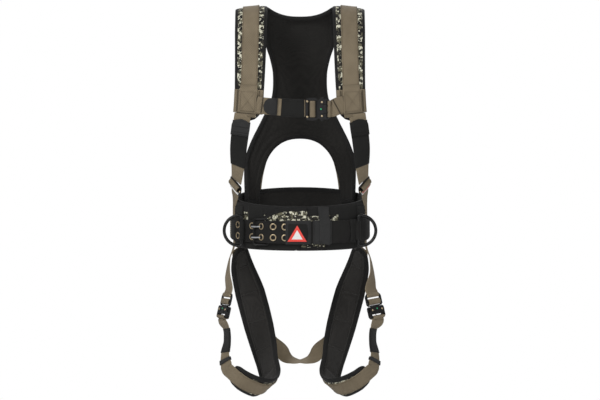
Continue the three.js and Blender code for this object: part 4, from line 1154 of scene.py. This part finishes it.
def upBand(name, angle, stations, width, thickness, surface, **more):
    # an upright band at one angle round the waist; stations are (height, offset)
    frames = []
    for (z0, o0), (z1, o1) in zip(stations, stations[1:]):
        for k in range(5):
            t = k / 5
            frames.append(waistFrame(angle, o0 + (o1 - o0) * eased(t, 0, 1), z0 + (z1 - z0) * t))
    frames.append(waistFrame(angle, stations[-1][1], stations[-1][0]))
    spots = [f["place"] for f in frames]
    rows = [frameAt(p, spots[min(i + 1, len(spots) - 1)] - spots[max(i - 1, 0)], f["outward"], width)
            for i, (p, f) in enumerate(zip(spots, frames))]
    sweep(name, rows, flatProfile(width, thickness), surface, finish="black_webbing", **more)


middleHeight = beltHeight(20)
upBand("elasticLoop", 20.5, [(514, 1.4), (middleHeight + 38, 5.0), (middleHeight + 31, 13.6),
                             (middleHeight - 30, 13.6),
                             (middleHeight - 32, 11.0)], 0.029, 0.0022, ribbedElastic)
upBand("beltBlock", 50.0, [(beltHeight(50) - 31, 9.4), (beltHeight(50) + 31, 9.4)], 0.022, 0.005, blackWeb)
for side in (-1, 1):
    upBand(("left" if side > 0 else "right") + "PadTab", side * 66, [(466, 1.2), (516, 1.2)], 0.040,
           0.0018, blackWeb)
print("belt made")

# the pad's overlapping front end

flapTop = [(-126, 470), (-110, 478), (-92, 490), (-75, 500), (-57, 507), (-36, 511), (0, 512.5), (40, 513)]


def flapHeight(angle):
    x = 180 * math.sin(math.radians(angle))
    i = max(k for k in range(len(flapTop) - 1) if flapTop[k][0] <= max(x, flapTop[0][0]))
    t = min(1.0, (x - flapTop[i][0]) / (flapTop[i + 1][0] - flapTop[i][0]))
    heights = [flapTop[0][1], *[p[1] for p in flapTop], flapTop[-1][1]]
    return spline(*heights[i:i + 4], t)


flapFrames, flapEdge = [], []
for i in range(49):
    angle = -42 + i
    top, low = flapHeight(angle), beltHeight(angle) - 22
    flapFrames.append(waistFrame(angle, 2.0, (top + low) / 2, (top - low) * mm))
    flapEdge.append(waistFrame(angle, 2.3, top - 4.5, 0.012))
sweep("padEnd", flapFrames, flatProfile(0.06, 0.0022), camoCloth, finish="camo_fabric", ripple=0.0004)
sweep("padEndBinding", flapEdge, flatProfile(0.012, 0.0040), bindingTape, finish="black_webbing")
stitches("padEndThread", [edgeRun(flapEdge, -0.7, 0.0020)], blackThread, 0.0034, 0.0026)
print("pad end made")

# small metal parts


def dress(node, surface, edge):
    part = frame["nodes"][node]
    part.data.materials.clear()
    part.data.materials.append(surface)
    weld = part.modifiers.new("weld", "WELD")
    weld.merge_threshold = 0.00002
    if edge:
        bevel = part.modifiers.new("softEdge", "BEVEL")
        bevel.width = edge
        bevel.segments = 2
        bevel.limit_method = "ANGLE"
        bevel.angle_limit = math.radians(32)


def turned(name, spots, profile, surface, sides=14, closed=False, finish="bright_metal"):
    # copies of one turned shape; each spot is (place, outward), profile gives (radius, height)
    mesh = bpy.data.meshes.new(name)
    work = bmesh.new()
    for place, outward in spots:
        outward = outward.normalized()
        first = outward.orthogonal().normalized()
        second = outward.cross(first)
        rings = [[work.verts.new(place + (first * math.cos(a) + second * math.sin(a)) * radius
                                 + outward * height)
                  for a in (2 * math.pi * k / sides for k in range(sides))] for radius, height in profile]
        for low, high in list(zip(rings, rings[1:])) + ([(rings[-1], rings[0])] if closed else []):
            for j in range(sides):
                work.faces.new((low[j], low[(j + 1) % sides], high[(j + 1) % sides], high[j]))
        if not closed:
            work.faces.new(rings[0][::-1])
            work.faces.new(rings[-1])
    bmesh.ops.recalc_face_normals(work, faces=work.faces)
    work.to_mesh(mesh)
    work.free()
    return newPiece(name, mesh, surface, finish=finish)


def rivets(name, spots, radius, height, surface=None, finish="bright_metal"):
    profile = [(radius, -0.0006), (radius, height * 0.25), (radius * 0.9, height * 0.6),
               (radius * 0.62, height * 0.9),
               (radius * 0.25, height)]
    return turned(name, spots, profile, surface or brass, finish=finish)


def eyelets(name, spots):
    section = [(0.0077 + 0.0018 * math.cos(a), 0.0010 * math.sin(a))
               for a in (2 * math.pi * k / 6 for k in range(6))]
    return turned(name, spots, section, brass, sides=16, closed=True)


def wireRing(name, points, normal, radius, surface, body, node, finish="black_metal"):
    frames = []
    for i, p in enumerate(points):
        ahead = points[(i + 1) % len(points)] - points[i - 1]
        frames.append(frameAt(p, ahead, normal, radius * 2))
    section = [(math.cos(a), radius * math.sin(a)) for a in (2 * math.pi * k / 14 for k in range(14))]
    piece = sweep(name, frames, section, surface, closedRun=True, body=body, finish=finish)
    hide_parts(node)
    return piece


def arc(centre, radius, start, end, steps):
    return [(centre[0] + radius * math.cos(math.radians(start + (end - start) * i / steps)),
             centre[1] + radius * math.sin(math.radians(start + (end - start) * i / steps)))
             for i in range(steps + 1)]


def ringOutline(height, depth):
    half, corner = height / 2, 6.5
    line = [(0, -half + corner + (height - 2 * corner) * i / 8) for i in range(8)]
    line += arc((corner, half - corner), corner, 180, 90, 6)
    line += arc((depth - half, 0), half, 90, -90, 28)
    return line + arc((corner, -half + corner), corner, -90, -180, 6)[:-1]


spots = []
for angle in (-62.5, -44.2, -33.7, -22.4, -12.6):
    for row in (-14.5, 14.5):
        top = beltTop(angle) if angle > -60 else 0.0111
        f, g = (waistFrame(a, 0, beltHeight(a) + row) for a in (angle - 0.7, angle + 0.7))
        low = f["place"] + f["outward"] * (beltTop(angle - 0.7) if angle > -60 else top)
        high = g["place"] + g["outward"] * (beltTop(angle + 0.7) if angle > -60 else top)
        spots.append((low.lerp(high, 0.5) + f["outward"] * 0.0003, f["across"].cross(high - low)))
eyelets("beltEyelets", spots)

bar = {"place": Vector((-0.08538, -0.25095, -0.44364)), "along": Vector((-0.92866, 0.37092, 0)),
       "outward": Vector((-0.37092, -0.92866, 0)), "length": 0.0413, "half": 0.0339, "corner": 0.005}
line = arc((bar["half"] - bar["corner"], bar["corner"]), bar["corner"], -90, 0, 5)
line += arc((bar["half"] - bar["corner"], bar["length"] - bar["corner"]), bar["corner"], 0, 90, 5)
line += arc((-bar["half"] + bar["corner"], bar["length"] - bar["corner"]), bar["corner"], 90, 180, 5)
line += arc((-bar["half"] + bar["corner"], bar["corner"]), bar["corner"], 180, 270, 5)
points = [bar["place"] + Vector((0, 0, 1)) * u + bar["along"] * v for u, v in line]
wireRing("waistBuckle", points, bar["outward"], 0.0026, blackSteel, "harness", "waist_buckle_frame")
for end in ("upper", "lower"):
    dress("waist_buckle_prong_" + end, brightSteel, 0)

pivot = Vector((0.15594, -0.2146, -0.44005))
for side, flip in (("left", False), ("right", True)):
    points = [rowSide(flip, pivot + Vector((x, 0, y)) * mm) for x, y in ringOutline(81.5, 47.5)]
    wireRing(side + "SideRing", points, Vector((0, -1, 0)), 0.00425, blackSteel, side + "_side_ring_body",
             side + "_side_ring")
    sign = -1 if flip else 1
    tab = aroundWaist(sign * 57, sign * 86, 9.3, 0.051, 1.5)
    strap(side + "RingHolder", tab, side + "_ring_holder", blackWeb, 0.003, "black_webbing")
    if flip:
        stitches("holderThread", [crossRun(tab[i], 0.0017, 0.86) for i in (-3, -5)], creamThread, 0.0056,
                 0.0036, 0.0007)
    stitches(side + "HolderEdge", [crossRun(tab[i], 0.0017, 0.9) for i in (7, -2)], blackThread, 0.0040,
             0.0030, 0.0005)
    column = [frameAt(rowSide(flip, pivot + Vector((0, 0, z * mm))), Vector((0, 0, 1)), Vector((0, -1, 0)),
                      0.0139)
              for z in (-25.5, -24.5, -12, 0, 12, 24.5, 25.5)]
    section = [(math.cos(a), 0.00695 * math.sin(a)) for a in (2 * math.pi * k / 18 for k in range(18))]
    sweep(side + "HolderRoll", column, section, blackWeb, finish="black_webbing")
    stitches(side + "RollThread", [[(c["place"] + Vector((0, -0.0070, 0)), c["along"], Vector((0, -1, 0)))
                                    for c in column]],
             blackThread, 0.004, 0.003)
print("waist hardware made")

# chest boxes and the chest strap

for side in ("left", "right"):
    box = coveredBy(side + "_chest_loop", path[side + "_shoulder_pad"], 0.003)
    widest = max(f["width"] for f in box)
    box = [dict(f, width=widest) for f in box]
    sleeve(side + "ChestLoop", box, side + "_chest_loop", -0.0055, 0.0082, 0.0016, extra=0.0038,
           surface=tanWeb, ripple=0.0006)
    stitches(side + "LoopSeam", [edgeRun(box[1:-1], u, 0.0102) for u in (-0.80, -0.74, 0.80, 0.74)],
             blackThread, 0.0030, 0.0029, 0.0005)
    front = []
    ends = [box[0]["place"] - box[0]["along"] * 0.010, box[-1]["place"] + box[-1]["along"] * 0.012]
    line = [dict(box[0], place=ends[0])] + box + [dict(box[-1], place=ends[1])]
    for i, f in enumerate(line):
        fromEnd = min(i, len(line) - 1 - i) / 4
        front.append(dict(moved([f], 0.0094 + 0.0052 * eased(fromEnd, 0, 1))[0], width=0.0470))
    sweep(side + "ChestFront", front, flatProfile(0.0475, 0.0026), tanWeb, finish="tan_webbing",
          ripple=0.0006, seed=3)
    stitches(side + "ChestThread", boxRuns(front[3:-3], 0.0014, 0.84), tanThread, 0.0040, 0.0030, 0.0005)
    stitches(side + "ChestSeam", [crossRun(front[1], 0.0014, 0.96)], blackThread, 0.0030, 0.0029, 0.0009)
rightStrap = smoothFrames(stations["right_chest_strap"], 0.003)
leftStrap = smoothFrames(stations["left_chest_strap"], 0.003)
for name, frames, xs in (("rightStrapSeam", rightStrap, (-0.1005, -0.117, -0.122)),
                         ("leftStrapSeam", leftStrap, (0.096, 0.118))):
    near = [min(frames, key=lambda f: abs(f["place"].x - x)) for x in xs]
    stitches(name, [crossRun(f, 0.0014, 0.97) for f in near], blackThread, 0.0030, 0.0029, 0.0008)
    stitches(name + "Fold", [[(p + f["along"] * 0.0016, d, n) for p, d, n in crossRun(f, 0.0013, 0.97)]
                             for f in near],
             tanThread, 0.0030, 0.0029, 0.0012)

sleeveRun = [f for f in rightStrap if -0.052 <= f["place"].x <= 0.0114]
sleeve("chestSleeve", sleeveRun, "chest_strap_sleeve", surface=blackWeb, ripple=0.0004)
stitches("chestSleeveThread", [edgeRun(sleeveRun, u, 0.0030) for u in (-0.86, 0.86)]
         + [crossRun(sleeveRun[i], 0.0030) for i in (1, -2)],
         blackThread, 0.0036, 0.0028, 0.0005)
tabRun = [f for f in rightStrap if -0.099 <= f["place"].x <= -0.0600]
tabRun = moved(tabRun, 0.0031)
if tabRun[0]["place"].x < tabRun[-1]["place"].x:
    tabRun = [frameAt(f["place"], -f["along"], f["outward"]) for f in reversed(tabRun)]
strap("chestTab", tabRun, "chest_strap_tab", ribbedElastic, 0.0026, "black_webbing", endRound=0.0225)
stitches("chestTabThread", [edgeRun(tabRun[:-7], u, 0.0015) for u in (-0.84, 0.84)]
         + [crossRun(tabRun[1], 0.0015)],
         blackThread, 0.0036, 0.0028, 0.0005)
print("chest straps made")

# quick-connect buckles: across, along from the mouth, and outward from its middle


def wrap(name, centre, along, outward, reach, depth, count=22, body="harness"):
    # webbing round a bar
    frames = []
    for i in range(count):
        a = 2 * math.pi * i / count
        place = centre + along * (reach * math.cos(a)) + outward * (depth * math.sin(a))
        ahead = -along * (reach * math.sin(a)) + outward * (depth * math.cos(a))
        facing = along * (depth * math.cos(a)) + outward * (reach * math.sin(a))
        frames.append(frameAt(place, ahead, facing.normalized(), 0.044))
    return sweep(name, frames, flatProfile(0.044, 0.0022), tanWeb, closedRun=True, body=body,
                 finish="tan_webbing")


def connector(prefix, label, origin, along, across, outward):
    for part in ("tongue", "housing"):
        dress(f"{prefix}_buckle_{part}", blackAlloy, 0.0009 if part == "tongue" else 0.0016)
    for part in ("a", "b"):
        dress(f"{prefix}_release_lever_{part}", blackAlloy, 0.0008)
    at = lambda u, v, n: origin + across * u + along * v + outward * n
    rivets(label + "Rivets", [(at(u, v, n), outward) for u, v, n in
                              ((-0.0205, -0.0296, 0.002), (0.0205, -0.0296, 0.002),
                               (-0.0185, 0.0095, 0.0065), (0.0185, 0.0095, 0.0065))],
           0.0031, 0.0022)
    rivets(label + "Dot", [(at(0, 0.0070, 0.0065), outward)], 0.0021, 0.0008, signalGreen,
           finish="moulded_plastic")
    wrap(label + "EndFold", at(0, 0.0293, 0), along, outward, 0.0040, 0.0082)
    rim = [at(u, v, 0.0067) for u, v in arc((0, 0.016), 0.0125, 200, -20, 16)]
    ridge = [frameAt(p, rim[min(i + 1, 16)] - rim[max(i - 1, 0)], outward, 0.0022) for i, p in enumerate(rim)]
    sweep(label + "Ridge", ridge, flatProfile(0.0022, 0.0012), blackAlloy, finish="black_metal")


chest = [Vector((0.049, -0.2608, -0.115)), Vector((1, 0, 0)), Vector((0, 0, -1)), Vector((0, -1, 0))]
connector("chest", "chest", *chest)
dress("chest_buckle_slide_bar", blackSteel, 0.0008)
wrap("chestBarFold", Vector((0.0335, -0.2608, -0.115)), chest[1], chest[3], 0.0064, 0.0046,
     body="chest_buckle_slide_bar_body")
legs = {"left": [(-0.69042, -0.71496, -0.11024), (0.6907, -0.69681, 0.19335)],
        "right": [(-0.43795, -0.89793, -0.04379), (0.8729, -0.43638, 0.21822)]}
for side, (across, outward) in legs.items():
    flip = side == "right"
    place = [rowSide(flip, values) for values in ((0.2017, -0.16957, -0.6439), (0.21506, -0.05735, -0.97492))]
    outward = rowSide(flip, outward).normalized()
    along = place[1].normalized()
    outward = (outward - along * outward.dot(along)).normalized()
    across = along.cross(outward).normalized()
    connector(side + "_leg", side + "Leg", place[0], along, across, outward)
    wrap(side + "LegTopFold", place[0] + along * -0.0310, along, outward, 0.0050, 0.0042)
    wrap(side + "LegBarFold", place[0] + along * -0.0130, along, outward, 0.0072, 0.0042, count=18)
print("buckles made")

# strap adjusters

adjuster = {"place": (0.17294, -0.18268, -0.32022), "along": (-0.1039, -0.62485, 0.7738),
            "out": (0.86193, -0.44477, -0.24342)}
for side, flip in (("left", False), ("right", True)):
    place = rowSide(flip, adjuster["place"])
    along = rowSide(flip, adjuster["along"]).normalized()
    outward = rowSide(flip, adjuster["out"]).normalized()
    across = along.cross(outward).normalized()
    dress(side + "_adjuster_frame", blackSteel, 0.0009)
    dress(side + "_adjuster_bar", blackSteel, 0.0009)
    middle = place + outward * 0.001 + across * (-0.003 if flip else 0.003)
    wrap(side + "AdjusterRoll", middle, along, outward, 0.0080, 0.0066, body=side + "_adjuster_bar_body")
    rivets(side + "AdjusterRivets", [(place + across * u + along * 0.0005 + outward * 0.0016, outward)
                                     for u in (-0.0258, 0.0258)], 0.0028, 0.003)
    facing = (outward + Vector((0, -1.2, -0.3))).normalized()
    plate = [frameAt(place + across * (u * 0.020) - along * 0.0128 + outward * 0.0024, across, facing,
                     0.0070) for u in (-1, -0.5, 0, 0.5, 1)]
    sweep(side + "AdjusterMark", plate, flatProfile(0.0070, 0.0016), patchPale, finish="bright_metal")
    if side == "left":
        label = [frameAt(place + across * (u * 0.021) - along * 0.0066 + outward * 0.0056, across, facing,
                         0.0070)
                 for u in (-1, -0.5, 0, 0.5, 1)]
        sweep("adjusterLabel", label, flatProfile(0.0070, 0.0012), labelRed, finish="patch_red")
for side in ("left", "right"):
    frames = coveredBy(side + "_torso_sleeve", path[side + "_torso_webbing"], 0.003)
    run = lengths(frames)
    cap = moved(between(frames, run[-1] - 0.040, run[-1]), 0.0042, width=0.0505)
    last = cap[-1]
    cap += [frameAt(last["place"] + last["along"] * d, last["along"], last["outward"], 0.0505)
            for d in (0.003, 0.006)]
    surface = ribbedElastic if side == "right" else blackWeb
    sweep(side + "SleeveCap", cap, flatProfile(0.0505, 0.0022), surface, endRound=0.018,
          finish="black_webbing")
    stitches(side + "CapThread", [crossRun(cap[i], 0.0013, 0.92) for i in (1, 3, 8)], blackThread, 0.0032,
             0.0028, 0.0006)
print("adjusters made")

# back plate and ring

dress("dorsal_plate", moulded, 0.0016)
points = [Vector((y, 0, -x)) * mm + Vector((0, 0.00665, 0.014)) for x, y in ringOutline(58, 52)]
wireRing("dorsalRing", points, Vector((0, 1, 0)), 0.00425, brightSteel, "dorsal_ring_body", "dorsal_ring",
         "bright_metal")
print("back ring made")
